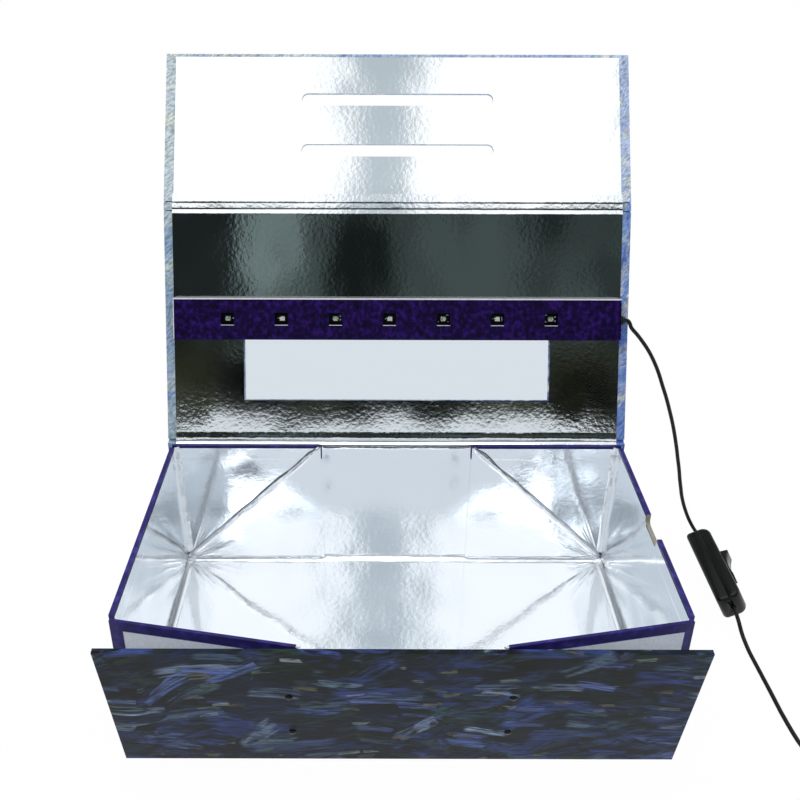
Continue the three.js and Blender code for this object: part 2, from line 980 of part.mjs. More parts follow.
const hollowHalf = switchWidth / 2 - switchWall;
const switchHollow = slab(caseOutline(switchWall), -hollowHalf, hollowHalf);
const cordHole = turned(
  [
    [0, -switchLength],
    [cordHoleRadius, -switchLength],
    [cordHoleRadius, switchLength],
    [0, switchLength],
  ],
  smallRoundSteps,
);
cordHole.rotateZ(-Math.PI / 2);
const apertureHalfX = rockerLength / 2 + rockerEndGap;
const apertureHalfZ = rockerWidth / 2 + rockerSideGap;
const rockerAperture = box(-apertureHalfX, apertureHalfX, 0, switchThickness, -apertureHalfZ, apertureHalfZ);
function halfSpace(y0, y1) {
  return box(-switchLength, switchLength, y0, y1, -switchWidth, switchWidth);
}
add(
  switchGroup,
  "switch_lower_shell",
  cut(switchCase(), switchHollow, cordHole, halfSpace(-switchSeam / 2, switchThickness)),
  blackPlastic,
);
add(
  switchGroup,
  "switch_upper_shell",
  cut(switchCase(), switchHollow, cordHole, rockerAperture, halfSpace(-switchThickness, switchSeam / 2)),
  blackPlastic,
);

// The rocker turns on a pin across the case. Profile in (local x, local y) about the pivot.
const rockerHalf = rockerLength / 2;
const rockerShape = new THREE.Shape();
rockerShape.moveTo(rockerHalf, rockerSkirt);
rockerShape.lineTo(rockerHalf, rockerRise);
rockerShape.quadraticCurveTo(0, rockerRise - 2 * rockerDish, -rockerHalf, rockerRise);
rockerShape.lineTo(-rockerHalf, rockerSkirt);
const hubLean = Math.asin(rockerSkirt / rockerHubRadius);
rockerShape.absarc(0, 0, rockerHubRadius, Math.PI - hubLean, 2 * Math.PI + hubLean, false);
rockerShape.closePath();
rockerShape.holes = [roundHole(0, 0, pinRadius + pinClearance)];
const rockerMesh = add(
  switchGroup,
  "switch_rocker",
  slab(rockerShape, -rockerWidth / 2, rockerWidth / 2),
  blackPlastic,
);
rockerMesh.position.set(0, rockerPivot, 0);
rockerMesh.rotation.z = THREE.MathUtils.degToRad(rockerTilt);

const pinHalf = switchWidth / 2 - switchWall - pinEndGap;
const pin = turned(
  [
    [0, -pinHalf],
    [pinRadius, -pinHalf],
    [pinRadius, pinHalf],
    [0, pinHalf],
  ],
  smallRoundSteps,
);
pin.rotateX(Math.PI / 2);
const pinMesh = add(switchGroup, "switch_pin", pin, steel);
pinMesh.position.set(0, rockerPivot, 0);

// ---------------------------------------------------------------- cord

const cordSection = new THREE.Shape(
  Array.from({ length: cordSides }, (_, i) => {
    const angle = ((i + 0.5) / cordSides) * 2 * Math.PI;
    return new THREE.Vector2(cordRadius * Math.cos(angle), cordRadius * Math.sin(angle));
  }),
);

function cordAlong(points) {
  const curve = new THREE.CatmullRomCurve3(points, false, "centripetal");
  const steps = Math.ceil(curve.getLength() / cordStep);
  return new THREE.ExtrudeGeometry(cordSection, { steps, bevelEnabled: false, extrudePath: curve });
}

const outlet = onLid(-grommetHeight, grommetPlace);
const outletX = grommetEnd + cordGap;
function alongSwitch(distance) {
  const turn = THREE.MathUtils.degToRad(switchTurn);
  return new THREE.Vector3(switchX + distance * Math.cos(turn), switchY + distance * Math.sin(turn), switchLift);
}
const entry = switchLength / 2 - cordEntry;

// The cord hangs from the lamp bar to the table, in two stretches that meet beside the back wall.
const middle = new THREE.Vector3(166.1, 87, 76.3);
const upperRoute = [
  new THREE.Vector3(outletX, outlet.x, outlet.y),
  new THREE.Vector3(outletX + cordRadius, outlet.x, outlet.y - cordGap),
  new THREE.Vector3(130.6, 87.9, 149),
  new THREE.Vector3(138, 87.4, 140.3),
  new THREE.Vector3(145.5, 87, 128.8),
  new THREE.Vector3(153.1, 87, 112.2),
  new THREE.Vector3(159.9, 87, 95.1),
  middle,
];
const lowerStart = middle
  .clone()
  .addScaledVector(new THREE.Vector3(0.26, 0, -0.97).normalize(), cordGap);
const lowerRoute = [
  lowerStart,
  new THREE.Vector3(170.3, 87, 60.5),
  new THREE.Vector3(174.2, 87, 44.4),
  new THREE.Vector3(177.1, 87, 33),
  new THREE.Vector3(181.1, 86, 21.5),
  new THREE.Vector3(184.2, 84, 14.8),
  new THREE.Vector3(186.5, 81.2, 11.2),
  alongSwitch(-switchLength / 2 - cordRadius * 2),
  alongSwitch(-entry),
];
add(root, "cord_upper", cordAlong(upperRoute), cordBlack);
add(root, "cord_lower", cordAlong(lowerRoute), cordBlack);

// The coil: one tube that spirals in and out, layer on layer, and climbs in each half turn where the
// spiral reverses. It starts at the outside of the bottom layer and ends at the outside of the top one.
const coilOuterRadius = coilInnerRadius + coilPitch * turnsPerLayer;
const coilTurns = coilLayers * turnsPerLayer;
const coilFloor = cordRadius + coilLift;
const coilTop = coilFloor + (coilLayers - 1) * coilLayerRise;

function ease(t) {
  const clamped = Math.min(Math.max(t, 0), 1);
  return clamped * clamped * (3 - 2 * clamped);
}

function coilPoint(turn) {
  const layer = Math.min(Math.floor(turn / turnsPerLayer), coilLayers - 1);
  const within = turn - layer * turnsPerLayer;
  const inward = layer % 2 === 0;
  const radius = inward ? coilOuterRadius - coilPitch * within : coilInnerRadius + coilPitch * within;
  let z = cordRadius + coilLift * ease(turn * 4);
  for (let i = 1; i < coilLayers; i += 1) z += coilLayerRise * ease((turn - i * turnsPerLayer) * 2 + 0.5);
  const angle = Math.PI + turn * 2 * Math.PI;
  return new THREE.Vector3(coilX + radius * Math.cos(angle), coilY + radius * Math.sin(angle), z);
}

function coilLine(stepsPerTurn) {
  const points = [];
  const leadSteps = Math.max(Math.round(stepsPerTurn / 12), 2);
  const start = coilPoint(0);
  for (let i = leadSteps; i > 0; i -= 1) {
    points.push(new THREE.Vector3(start.x, start.y + (coilLeadIn * i) / leadSteps, start.z));
  }
  const total = Math.round(coilTurns * stepsPerTurn);
  for (let i = 0; i <= total; i += 1) points.push(coilPoint((i / total) * coilTurns));
  const end = coilPoint(coilTurns);
  const dropSteps = Math.round(stepsPerTurn / 4);
  points.push(new THREE.Vector3(end.x, end.y + coilTailLevel / 2, end.z));
  for (let i = 0; i <= dropSteps; i += 1) {
    const share = i / dropSteps;
    points.push(
      new THREE.Vector3(
        end.x,
        end.y + coilTailLevel + coilTailDrop * share,
        end.z + (plugAxisHeight - end.z) * ease(share),
      ),
    );
  }
  const drop = points[points.length - 1];
  points.push(drop.clone().add(new THREE.Vector3(0, coilTailEnd, 0)));
  return points;
}

// A closed tube through a line of points, its rings carried along without twist.
function tube(points, radius, sides) {
  const last = points.length - 1;
  const tangents = points.map((point, i) =>
    points[Math.min(i + 1, last)].clone().sub(points[Math.max(i - 1, 0)]).normalize(),
  );
  const normal = new THREE.Vector3(0, 0, 1);
  const positions = [];
  points.forEach((point, i) => {
    normal.addScaledVector(tangents[i], -normal.dot(tangents[i])).normalize();
    const across = new THREE.Vector3().crossVectors(tangents[i], normal);
    for (let s = 0; s < sides; s += 1) {
      const angle = ((s + 0.5) / sides) * 2 * Math.PI;
      const corner = point
        .clone()
        .addScaledVector(normal, radius * Math.cos(angle))
        .addScaledVector(across, radius * Math.sin(angle));
      positions.push(corner.x, corner.y, corner.z);
    }
  });
  const index = [];
  for (let i = 0; i < last; i += 1) {
    for (let s = 0; s < sides; s += 1) {
      const a = i * sides + s;
      const b = i * sides + ((s + 1) % sides);
      index.push(a, b, b + sides, a, b + sides, a + sides);
    }
  }
  for (let s = 1; s < sides - 1; s += 1) {
    index.push(0, s + 1, s);
    index.push(last * sides, last * sides + s, last * sides + s + 1);
  }
  const geometry = new THREE.BufferGeometry();
  geometry.setAttribute("position", new THREE.Float32BufferAttribute(positions, 3));
  geometry.setIndex(index);
  geometry.computeVertexNormals();
  return geometry;
}

const coilPoints = coilLine(coilStepsPerTurn);
add(root, "cord_coil", tube(coilPoints, cordRadius, coilSides), cordBlack);

// The least gap between the coil's turns, measured on close points of its centre line.
const fine = coilLine(coilCheckPerTurn);
const along = [0];
for (let i = 1; i < fine.length; i += 1) along.push(along[i - 1] + fine[i].distanceTo(fine[i - 1]));
let least = Infinity;
for (let i = 0; i < fine.length; i += 1) {
  for (let j = i + 1; j < fine.length; j += 1) {
    if (along[j] - along[i] > cordRadius * 2 * Math.PI) least = Math.min(least, fine[i].distanceTo(fine[j]));
  }
}
console.log("least gap of the coil to itself, mm:", (least - 2 * cordRadius).toFixed(3));

// The second stretch lies on the table from the switch to the coil.
const floorLevel = cordRadius + glueGap;
const coilStart = coilPoints[0];
const exit = alongSwitch(entry);
const tableRoute = [
  exit,
  alongSwitch(switchLength / 2 + cordRadius * 2),
  new THREE.Vector3(188.5, 10.5, 7.2),
  new THREE.Vector3(188.9, 5.5, 4),
  new THREE.Vector3(189.3, -0.5, 2.1),
  new THREE.Vector3(189.7, -8, floorLevel),
  new THREE.Vector3(190.6, -28.3, floorLevel),
  new THREE.Vector3(191.5, -48.4, floorLevel),
  new THREE.Vector3(193.6, -62, floorLevel),
  new THREE.Vector3(198.6, -74, floorLevel),
  new THREE.Vector3(202.6, -82, floorLevel),
  new THREE.Vector3(coilStart.x, coilStart.y + cordGap + cordRadius * 2, coilStart.z),
  new THREE.Vector3(coilStart.x, coilStart.y + cordGap, coilStart.z),
];
add(root, "cord_switch_to_coil", cordAlong(tableRoute), cordBlack);

// A flat tie round the bundle, on the side away from both ends.
const tieTurnShare = 0.875;
const tieTurn = tieTurnShare * 2 * Math.PI;
const bundleInner = Math.sqrt((coilInnerRadius - cordRadius) ** 2 - (tieWidth / 2) ** 2) - tieClearance;
const bundleOuter = coilOuterRadius + cordRadius + tieClearance;
const tieFloor = tieThickness;
const tieTop = coilTop + cordRadius + tieClearance;
const tieShape = shapeOf(
  rectangle(bundleInner - tieThickness, bundleOuter + tieThickness, 0, tieTop + tieThickness),
  [shapeOf(rectangle(bundleInner, bundleOuter, tieFloor, tieTop))],
);
const tie = sheet(tieShape, -tieWidth / 2, tieWidth / 2);
const tieMesh = add(root, "coil_tie", tie, tieWhite);
tieMesh.position.set(coilX, coilY, 0);
tieMesh.rotation.z = tieTurn;

// ---------------------------------------------------------------- plug

// A round plug on the end of the cord, its axis along +Y.
const coilEnd = coilPoints[coilPoints.length - 1];
const plugGroup = new THREE.Group();
plugGroup.position.set(coilEnd.x, coilEnd.y + cordGap, plugAxisHeight);
root.add(plugGroup);

const reliefEnd = plugReliefLength;
const bodyEnd = plugReliefLength + plugBodyLength;
const socketFloor = bodyEnd - plugBarrelSeat;
add(
  plugGroup,
  "plug_body",
  turned(
    [
      [0, 0],
      [plugReliefRadius, 0],
      [plugReliefRadius + plugShoulder / 2, reliefEnd],
      [plugBodyRadius - plugShoulder, reliefEnd],
      [plugBodyRadius, reliefEnd + plugShoulder],
      [plugBodyRadius, bodyEnd - plugShoulder],
      [plugBodyRadius - plugShoulder / 2, bodyEnd],
      [plugSocketRadius, bodyEnd],
      [plugSocketRadius, socketFloor],
      [0, socketFloor],
    ],
    roundSteps,
  ),
  blackPlastic,
);
const barrelStart = socketFloor + foldGap;
const barrelEnd = bodyEnd + plugBarrelLength;
add(
  plugGroup,
  "plug_barrel",
  turned(
    [
      [plugBarrelBore, barrelStart],
      [plugBarrelRadius, barrelStart],
      [plugBarrelRadius, barrelEnd],
      [plugBarrelBore, barrelEnd],
      [plugBarrelBore, barrelStart],
    ],
    roundSteps,
  ),
  steel,
);
const insulatorRadius = plugBarrelBore - foldGap;
add(
  plugGroup,
  "plug_insulator",
  turned(
    [
      [plugInsulatorBore, barrelStart],
      [insulatorRadius, barrelStart],
      [insulatorRadius, barrelEnd - plugInsulatorInset],
      [plugInsulatorBore, barrelEnd - plugInsulatorInset],
      [plugInsulatorBore, barrelStart],
    ],
    roundSteps,
  ),
  blackPlastic,
);

export default root;
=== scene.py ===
# A folding sanitizer box for phones, as it stands open on a table: board walls lined with foil, a lid
# with a lamp bar and a window, a flap with two slots, and a cord with a rocker switch.
import math

import bmesh
import bpy
from mathutils import Matrix, Vector, noise


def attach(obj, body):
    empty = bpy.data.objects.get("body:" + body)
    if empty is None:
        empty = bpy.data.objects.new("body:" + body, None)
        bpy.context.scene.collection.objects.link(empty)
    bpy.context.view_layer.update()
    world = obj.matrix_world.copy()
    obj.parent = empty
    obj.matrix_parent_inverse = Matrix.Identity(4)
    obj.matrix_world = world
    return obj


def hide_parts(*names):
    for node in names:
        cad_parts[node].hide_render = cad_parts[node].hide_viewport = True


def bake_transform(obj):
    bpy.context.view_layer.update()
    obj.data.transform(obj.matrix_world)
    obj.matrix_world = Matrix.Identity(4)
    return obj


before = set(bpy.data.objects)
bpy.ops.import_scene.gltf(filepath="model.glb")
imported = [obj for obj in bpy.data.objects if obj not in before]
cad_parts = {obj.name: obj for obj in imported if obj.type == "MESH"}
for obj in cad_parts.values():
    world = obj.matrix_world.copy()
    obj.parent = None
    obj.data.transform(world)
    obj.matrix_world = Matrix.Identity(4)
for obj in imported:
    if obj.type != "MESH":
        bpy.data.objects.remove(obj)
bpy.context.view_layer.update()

# ---------------------------------------------------------------- camera
# A 38 mm lens just above the front of the box, looking 27 degrees down into the open tray. Its place
# was fitted to the edges of the box, and the small shift keeps the frame's centre off the lens axis.
# In pixels: the frame's side, the focal length, and where the lens axis meets the frame.
pixels, focal, axis_x, axis_y = 800, 847.5, 378.38, 308.80
camera_data = bpy.data.cameras.new("camera")
camera_data.sensor_width = 36
camera_data.lens = focal / pixels * 36
camera_data.shift_x = (pixels / 2 - axis_x) / pixels
camera_data.shift_y = (axis_y - pixels / 2) / pixels
camera_data.clip_start = 0.01
camera = bpy.data.objects.new("camera", camera_data)
bpy.context.scene.collection.objects.link(camera)
camera.matrix_world = (
    Matrix.Translation((-0.01056, -0.32810, 0.37115))
    @ Matrix.Rotation(math.radians(-0.027), 4, "Z")
    @ Matrix.Rotation(math.radians(90 - 26.839), 4, "X")
    @ Matrix.Rotation(math.radians(0.164), 4, "Z")
)
bpy.context.scene.camera = camera

# ---------------------------------------------------------------- cord
# A thin two-core lead in a round black PVC jacket. It hangs from the lamp bar's end to the table, goes
# through the rocker switch, and the rest of its length is wound into a coil with a hook-and-loop tie.
mm = 0.001
lead_width, on_table = 2.2, 1.2  # mm: the jacket, and the height of its middle where it lies


def linear(code):
    parts = [int(code[i : i + 2], 16) / 255 for i in (1, 3, 5)]
    return tuple(c / 12.92 if c <= 0.04045 else ((c + 0.055) / 1.055) ** 2.4 for c in parts) + (1.0,)


def add(tree, kind, links=None, stops=None, **settings):
    made = tree.nodes.new("ShaderNode" + kind)
    for key, value in settings.items():
        setattr(made, key, value)
    if stops:
        ramp = made.color_ramp
        while len(ramp.elements) < len(stops):
            ramp.elements.new(0.5)
        for element, (place, code) in zip(ramp.elements, stops):
            element.position = place
            element.color = linear(code)
    for key, value in (links or {}).items():
        if isinstance(value, bpy.types.NodeSocket):
            tree.links.new(value, made.inputs[key])
        else:
            made.inputs[key].default_value = value
    return made


def finish(name, **values):
    material = bpy.data.materials.new(name)
    material.use_nodes = True
    tree = material.node_tree
    surface = tree.nodes["Principled BSDF"]
    for key, value in values.items():
        surface.inputs[key.replace("_", " ")].default_value = value
    place = add(tree, "TexCoord").outputs["Object"]
    return material, tree, surface, place


def mottled(name, spots, stops, grain=None, **values):
    """A tone that drifts in spots (size in mm, detail), over a grain (size, detail, strength, depth)."""
    material, tree, surface, place = finish(name, **values)
    size, detail = spots
    broad = add(tree, "TexNoise", {"Vector": place, "Scale": 1 / (size * mm), "Detail": detail})
    tone = add(tree, "ValToRGB", {"Fac": broad.outputs["Fac"]}, stops=stops)
    tree.links.new(tone.outputs["Color"], surface.inputs["Base Color"])
    if grain:
        size, detail, strength, depth = grain
        fine = add(tree, "TexNoise", {"Vector": place, "Scale": 1 / (size * mm), "Detail": detail})
        relief = add(tree, "Bump",
                     {"Height": fine.outputs["Fac"], "Strength": strength, "Distance": depth * mm})
        tree.links.new(relief.outputs["Normal"], surface.inputs["Normal"])
    return material


# Flexible PVC, extruded: satin, nearly black, with a faint unevenness along it.
pvc = mottled("flexible PVC, extruded", (6, 2.0), [(0.3, "#101210"), (0.7, "#191c19")],
              (0.5, 1.0, 0.25, 0.05), Roughness=0.42, Specular_IOR_Level=0.22)


def lead(name, points, samples):
    """The lead along a smooth line through the points, in mm, and the points along its middle."""
    curve = bpy.data.curves.new(name, "CURVE")
    curve.dimensions = "3D"
    curve.resolution_u = samples
    spline = curve.splines.new("BEZIER")
    spline.bezier_points.add(len(points) - 1)
    for knot, point in zip(spline.bezier_points, points):
        knot.co = Vector(point) * mm
        knot.handle_left_type = knot.handle_right_type = "AUTO"
    line = bpy.data.objects.new(name, curve)
    bpy.context.scene.collection.objects.link(line)
    bpy.context.view_layer.update()
    bare = bpy.data.meshes.new_from_object(line)
    middle = [v.co.copy() for v in bare.vertices]
    bpy.data.meshes.remove(bare)
    curve.bevel_depth = lead_width / 2 * mm
    curve.bevel_resolution = 5
    curve.use_fill_caps = True
    mesh = bpy.data.meshes.new_from_object(line)
    bpy.data.objects.remove(line)
    mesh.materials.clear()
    mesh.materials.append(pvc)
    mesh.shade_smooth()
    jacket = bpy.data.objects.new(name, mesh)
    bpy.context.scene.collection.objects.link(jacket)
    return jacket, middle


switch_x, switch_y, switch_z = 188.1, 46.5, 9.82


def along_switch(distance):
    """A point on the switch's long axis, so far from its middle towards the plug."""
    return (switch_x, switch_y - distance, switch_z)


upper_route = [
    (126.5, 88.4, 153.66), (128.0, 88.4, 153.36), (130.6, 87.9, 149), (134.2, 87.6, 145.0),
    (138, 87.4, 140.3), (141.9, 87.1, 134.9), (145.5, 87, 128.8), (149.5, 87, 120.8),
    (153.1, 87, 112.2), (156.7, 87, 103.6), (159.9, 87, 95.1), (163.2, 87, 85.7), (166.1, 87, 76.3),
]
lower_route = [
    (166.18, 87, 76.0), (168.3, 87, 68.4), (170.3, 87, 60.5), (172.4, 87, 52.4), (174.2, 87, 44.4),
    (175.7, 87, 38.5), (177.1, 87, 33), (179.0, 86.7, 27.0), (181.1, 86, 21.5), (182.7, 85.2, 17.8),
    (184.2, 84, 14.8), (185.5, 82.7, 12.6), (186.5, 81.2, 11.2), (187.5, 79.2, 10.1),
    along_switch(-30.5), along_switch(-26.3),
]
upper, upper_line = lead("lead_upper", upper_route, 6)
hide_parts("cord_upper")
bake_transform(upper)
lower, lower_line = lead("lead_lower", lower_route, 6)
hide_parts("cord_lower")
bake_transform(lower)


def ease(t):
    t = min(max(t, 0.0), 1.0)
    return t * t * (3 - 2 * t)


# The coil, in mm: four layers of 2.6 turns, wound inwards and outwards in turn, and lifted a little for
# the tie that passes under it. Each turn has 24 points.
coil_x, coil_y, turns, layers, lift, plug_z = 222.9, -100, 10.5, 4, 0.8, 5


def coil_point(turn, inner=12, pitch=2.7, rise=2.65):
    per_layer = turns / layers
    layer = min(int(turn / per_layer), layers - 1)
    within = turn - layer * per_layer
    radius = inner + pitch * (within if layer % 2 else per_layer - within)
    z = on_table + lift * ease(turn * 4)
    for i in range(1, layers):
        z += rise * ease((turn - i * per_layer) * 2 + 0.5)
    angle = math.pi + turn * 2 * math.pi
    return (coil_x + radius * math.cos(angle), coil_y + radius * math.sin(angle), z)


coil = [coil_point(i / 24) for i in range(int(turns * 24) + 1)]
first, last = coil[0], coil[-1]
table_route = [
    along_switch(26.3), along_switch(30.5), (188.3, 13.2, 8.6), (188.5, 10.5, 7.2), (188.9, 5.5, 4),
    (189.3, -0.5, 2.1), (189.5, -4.5, 1.45), (189.7, -8, 1.23), (189.9, -12, on_table),
    (190.6, -28.3, on_table), (191.5, -48.4, on_table), (193.6, -62, on_table), (198.6, -74, on_table),
    (202.0, -82, on_table), (first[0], first[1] + 8, on_table), (first[0], first[1] + 3.5, on_table),
]
tail = [(last[0], last[1] + 4, last[2])] + [
    (last[0], last[1] + 8 + 16 * i / 6, last[2] + (plug_z - last[2]) * ease(i / 6)) for i in range(7)
] + [(last[0], last[1] + 28, plug_z)]
rest, rest_line = lead("lead_to_plug", table_route + coil + tail, 3)
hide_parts("cord_switch_to_coil", "cord_coil")
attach(rest, "base")


def dress(material, *names):
    """Gives CAD nodes their finish."""
    for name in names:
        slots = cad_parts[name].data.materials
        slots.clear()
        slots.append(material)


# The tie is woven nylon hook-and-loop tape: a matt black pile.
dress(mottled("nylon hook-and-loop tape, woven", (0.5, 3.0), [(0.3, "#0c0d0c"), (0.7, "#262824")],
              (0.5, 3.0, 0.8, 0.3), Roughness=0.9, Sheen_Weight=0.5), "coil_tie")

# ---------------------------------------------------------------- switch and plug
# The inline switch is two half shells of black ABS with a fine spark-eroded grain and a glossier
# rocker on a steel pin. The plug is moulded on in soft black PVC and has a nickel-plated barrel.


def moulding(name, dark, light, roughness, grit):
    return mottled(name, (9, 2.0), [(0.3, dark), (0.7, light)], (grit, 3.0, 0.35, 0.06),
                   Roughness=roughness, Specular_IOR_Level=0.22)


def soften(width, *names):
    """Rounds the hard edges of CAD nodes a little, as moulds and presses leave them."""
    for name in names:
        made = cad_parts[name]
        made.data.shade_smooth()
        weld = made.modifiers.new("weld", "WELD")
        weld.merge_threshold = 0.01 * mm
        bevel = made.modifiers.new("edge", "BEVEL")
        bevel.width = width * mm
        bevel.segments = 2
        bevel.limit_method = "ANGLE"
        bevel.angle_limit = math.radians(35)
        bevel.harden_normals = True


def stand(name, shape, material, thickness=0.0, smooth=50):
    """Makes a shape a piece. An open sheet is given its thickness, in metres, first."""
    mesh = bpy.data.meshes.new(name)
    if thickness:
        bmesh.ops.solidify(shape, geom=list(shape.faces), thickness=thickness)
        bmesh.ops.recalc_face_normals(shape, faces=shape.faces)
    shape.to_mesh(mesh)
    shape.free()
    mesh.materials.append(material)
    mesh.shade_smooth()
    mesh.set_sharp_from_angle(angle=math.radians(smooth))
    made = bpy.data.objects.new(name, mesh)
    bpy.context.scene.collection.objects.link(made)
    return made


def oblong(left, low, right, high):
    return [(left, low), (right, low), (right, high), (left, high)]


def flat_piece(name, material, place, *plates):
    """Thin plates as one piece. Each: its outline (x, z), its face's y, its thickness to -Y, in mm."""
    shape = bmesh.new()
    for outline, level, thickness in plates:
        face = shape.faces.new([shape.verts.new((x * mm, level * mm, z * mm)) for x, z in outline])
        grown = bmesh.ops.extrude_face_region(shape, geom=[face])
        bmesh.ops.translate(shape, vec=(0, -thickness * mm, 0),
                            verts=[g for g in grown["geom"] if isinstance(g, bmesh.types.BMVert)])
    bmesh.ops.recalc_face_normals(shape, faces=shape.faces)
    made = stand(name, shape, material, smooth=30)
    made.data.transform(place)
    return made


# The real grain is some 0.05 mm. It is drawn at 0.35 mm, so that it shows.
spark_grain = moulding("ABS, moulded with a spark-eroded grain", "#090c09", "#0f130f", 0.27, 0.35)
dress(spark_grain, "switch_lower_shell", "switch_upper_shell")
soften(0.25, "switch_lower_shell", "switch_upper_shell", "switch_rocker")

# Inside the seam one shell has a lip that laps into the other, so no light gets through.
in_switch = (Matrix.Translation(Vector((switch_x, switch_y, switch_z)) * mm)
             @ Matrix.Rotation(math.radians(-90), 4, "Z") @ Matrix.Rotation(math.radians(28), 4, "X"))
lip = flat_piece("switch_seam_lip", spark_grain, in_switch, *[
    (oblong(*corners), 0.9, 1.8)
    for corners in ((-26.6, -7.5, 26.6, -6.9), (-26.6, 6.9, 26.6, 7.5), (-26.9, -7.4, -26.3, -1.6),
                    (-26.9, 1.6, -26.3, 7.4), (26.3, -7.4, 26.9, -1.6), (26.3, 1.6, 26.9, 7.4))])
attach(lip, "base")
dress(moulding("ABS, moulded smooth", "#141615", "#1b1e1c", 0.2, 0.8), "switch_rocker")
dress(moulding("soft PVC, moulded", "#111310", "#191b18", 0.45, 0.4),
      "plug_body", "plug_insulator", "cord_grommet")


def worn_metal(name, dark, light, roughness, scratch, **values):
    """Bare or plated metal: its tone and gloss drift with handling, over fine scratches."""
    material, tree, surface, place = finish(name, Metallic=1.0, **values)
    broad = add(tree, "TexNoise", {"Vector": place, "Scale": 1 / (2.5 * mm), "Detail": 3.0})
    tone = add(tree, "ValToRGB", {"Fac": broad.outputs["Fac"]},
               stops=[(0.3, dark), (0.7, light)])
    rough = add(tree, "MapRange",
                {"Value": broad.outputs["Fac"], "To Min": roughness - 0.08, "To Max": roughness + 0.12})
    fine = add(tree, "TexNoise", {"Vector": place, "Scale": 1 / (scratch * mm), "Detail": 3.0})
    relief = add(tree, "Bump",
                 {"Height": fine.outputs["Fac"], "Strength": 0.3, "Distance": 0.03 * mm})
    tree.links.new(tone.outputs["Color"], surface.inputs["Base Color"])
    tree.links.new(rough.outputs["Result"], surface.inputs["Roughness"])
    tree.links.new(relief.outputs["Normal"], surface.inputs["Normal"])
    return material


# Nickel plate is bright and cool grey, dulled where it is handled.
nickel = worn_metal("steel, nickel plated", "#a9acb0", "#cfd1d3", 0.25, 0.3)
dress(nickel, "plug_barrel", "switch_pin", "flap_magnet_left", "flap_magnet_right",
      "front_keeper_left", "front_keeper_right")

# ---------------------------------------------------------------- printed boards
# Grey board, 2.2 mm, wrapped in offset-printed paper with a matt lamination. The print is a general
# pattern of painted blocks of brush lines: dark blue on base and front, lighter blues behind and above.


def brush_layer(tree, place, block, hair, keep, phase):
    """Blocks of brush lines, each (length, width) in mm: the paint's cover, and two random shades."""
    moved = add(tree, "VectorMath", {0: place, 1: phase}).outputs[0]
    scaled = add(tree, "VectorMath",
                 {0: moved, 1: (1 / (block[0] * mm), 1 / (block[1] * mm), 1 / (block[1] * mm))},
                 operation="MULTIPLY").outputs[0]
    cells = add(tree, "TexVoronoi", {"Vector": scaled, "Scale": 1.0, "Randomness": 0.9},
                distance="CHEBYCHEV")
    shade = add(tree, "SeparateColor", {"Color": cells.outputs["Color"]})
    body = add(tree, "MapRange",
               {"Value": cells.outputs["Distance"], "From Min": 0.47, "From Max": 0.34},
               interpolation_type="SMOOTHSTEP").outputs["Result"]
    chosen = add(tree, "Math", {0: shade.outputs["Green"], 1: keep},
                 operation="LESS_THAN").outputs[0]
    apart = add(tree, "VectorMath", {0: cells.outputs["Color"], 1: moved}).outputs[0]
    drawn = add(tree, "VectorMath",
                {0: apart, 1: (1 / (hair[0] * mm), 1 / (hair[1] * mm), 1 / (hair[1] * mm))},
                operation="MULTIPLY").outputs[0]
    lines = add(tree, "TexNoise", {"Vector": drawn, "Scale": 1.0, "Detail": 2.0}).outputs["Fac"]
    streak = add(tree, "MapRange", {"Value": lines, "From Min": 0.38, "From Max": 0.58}).outputs[0]
    cover = add(tree, "Math", {0: body, 1: chosen}, operation="MULTIPLY").outputs[0]
    cover = add(tree, "Math", {0: cover, 1: streak}, operation="MULTIPLY").outputs[0]
    return cover, shade.outputs["Red"], shade.outputs["Blue"]


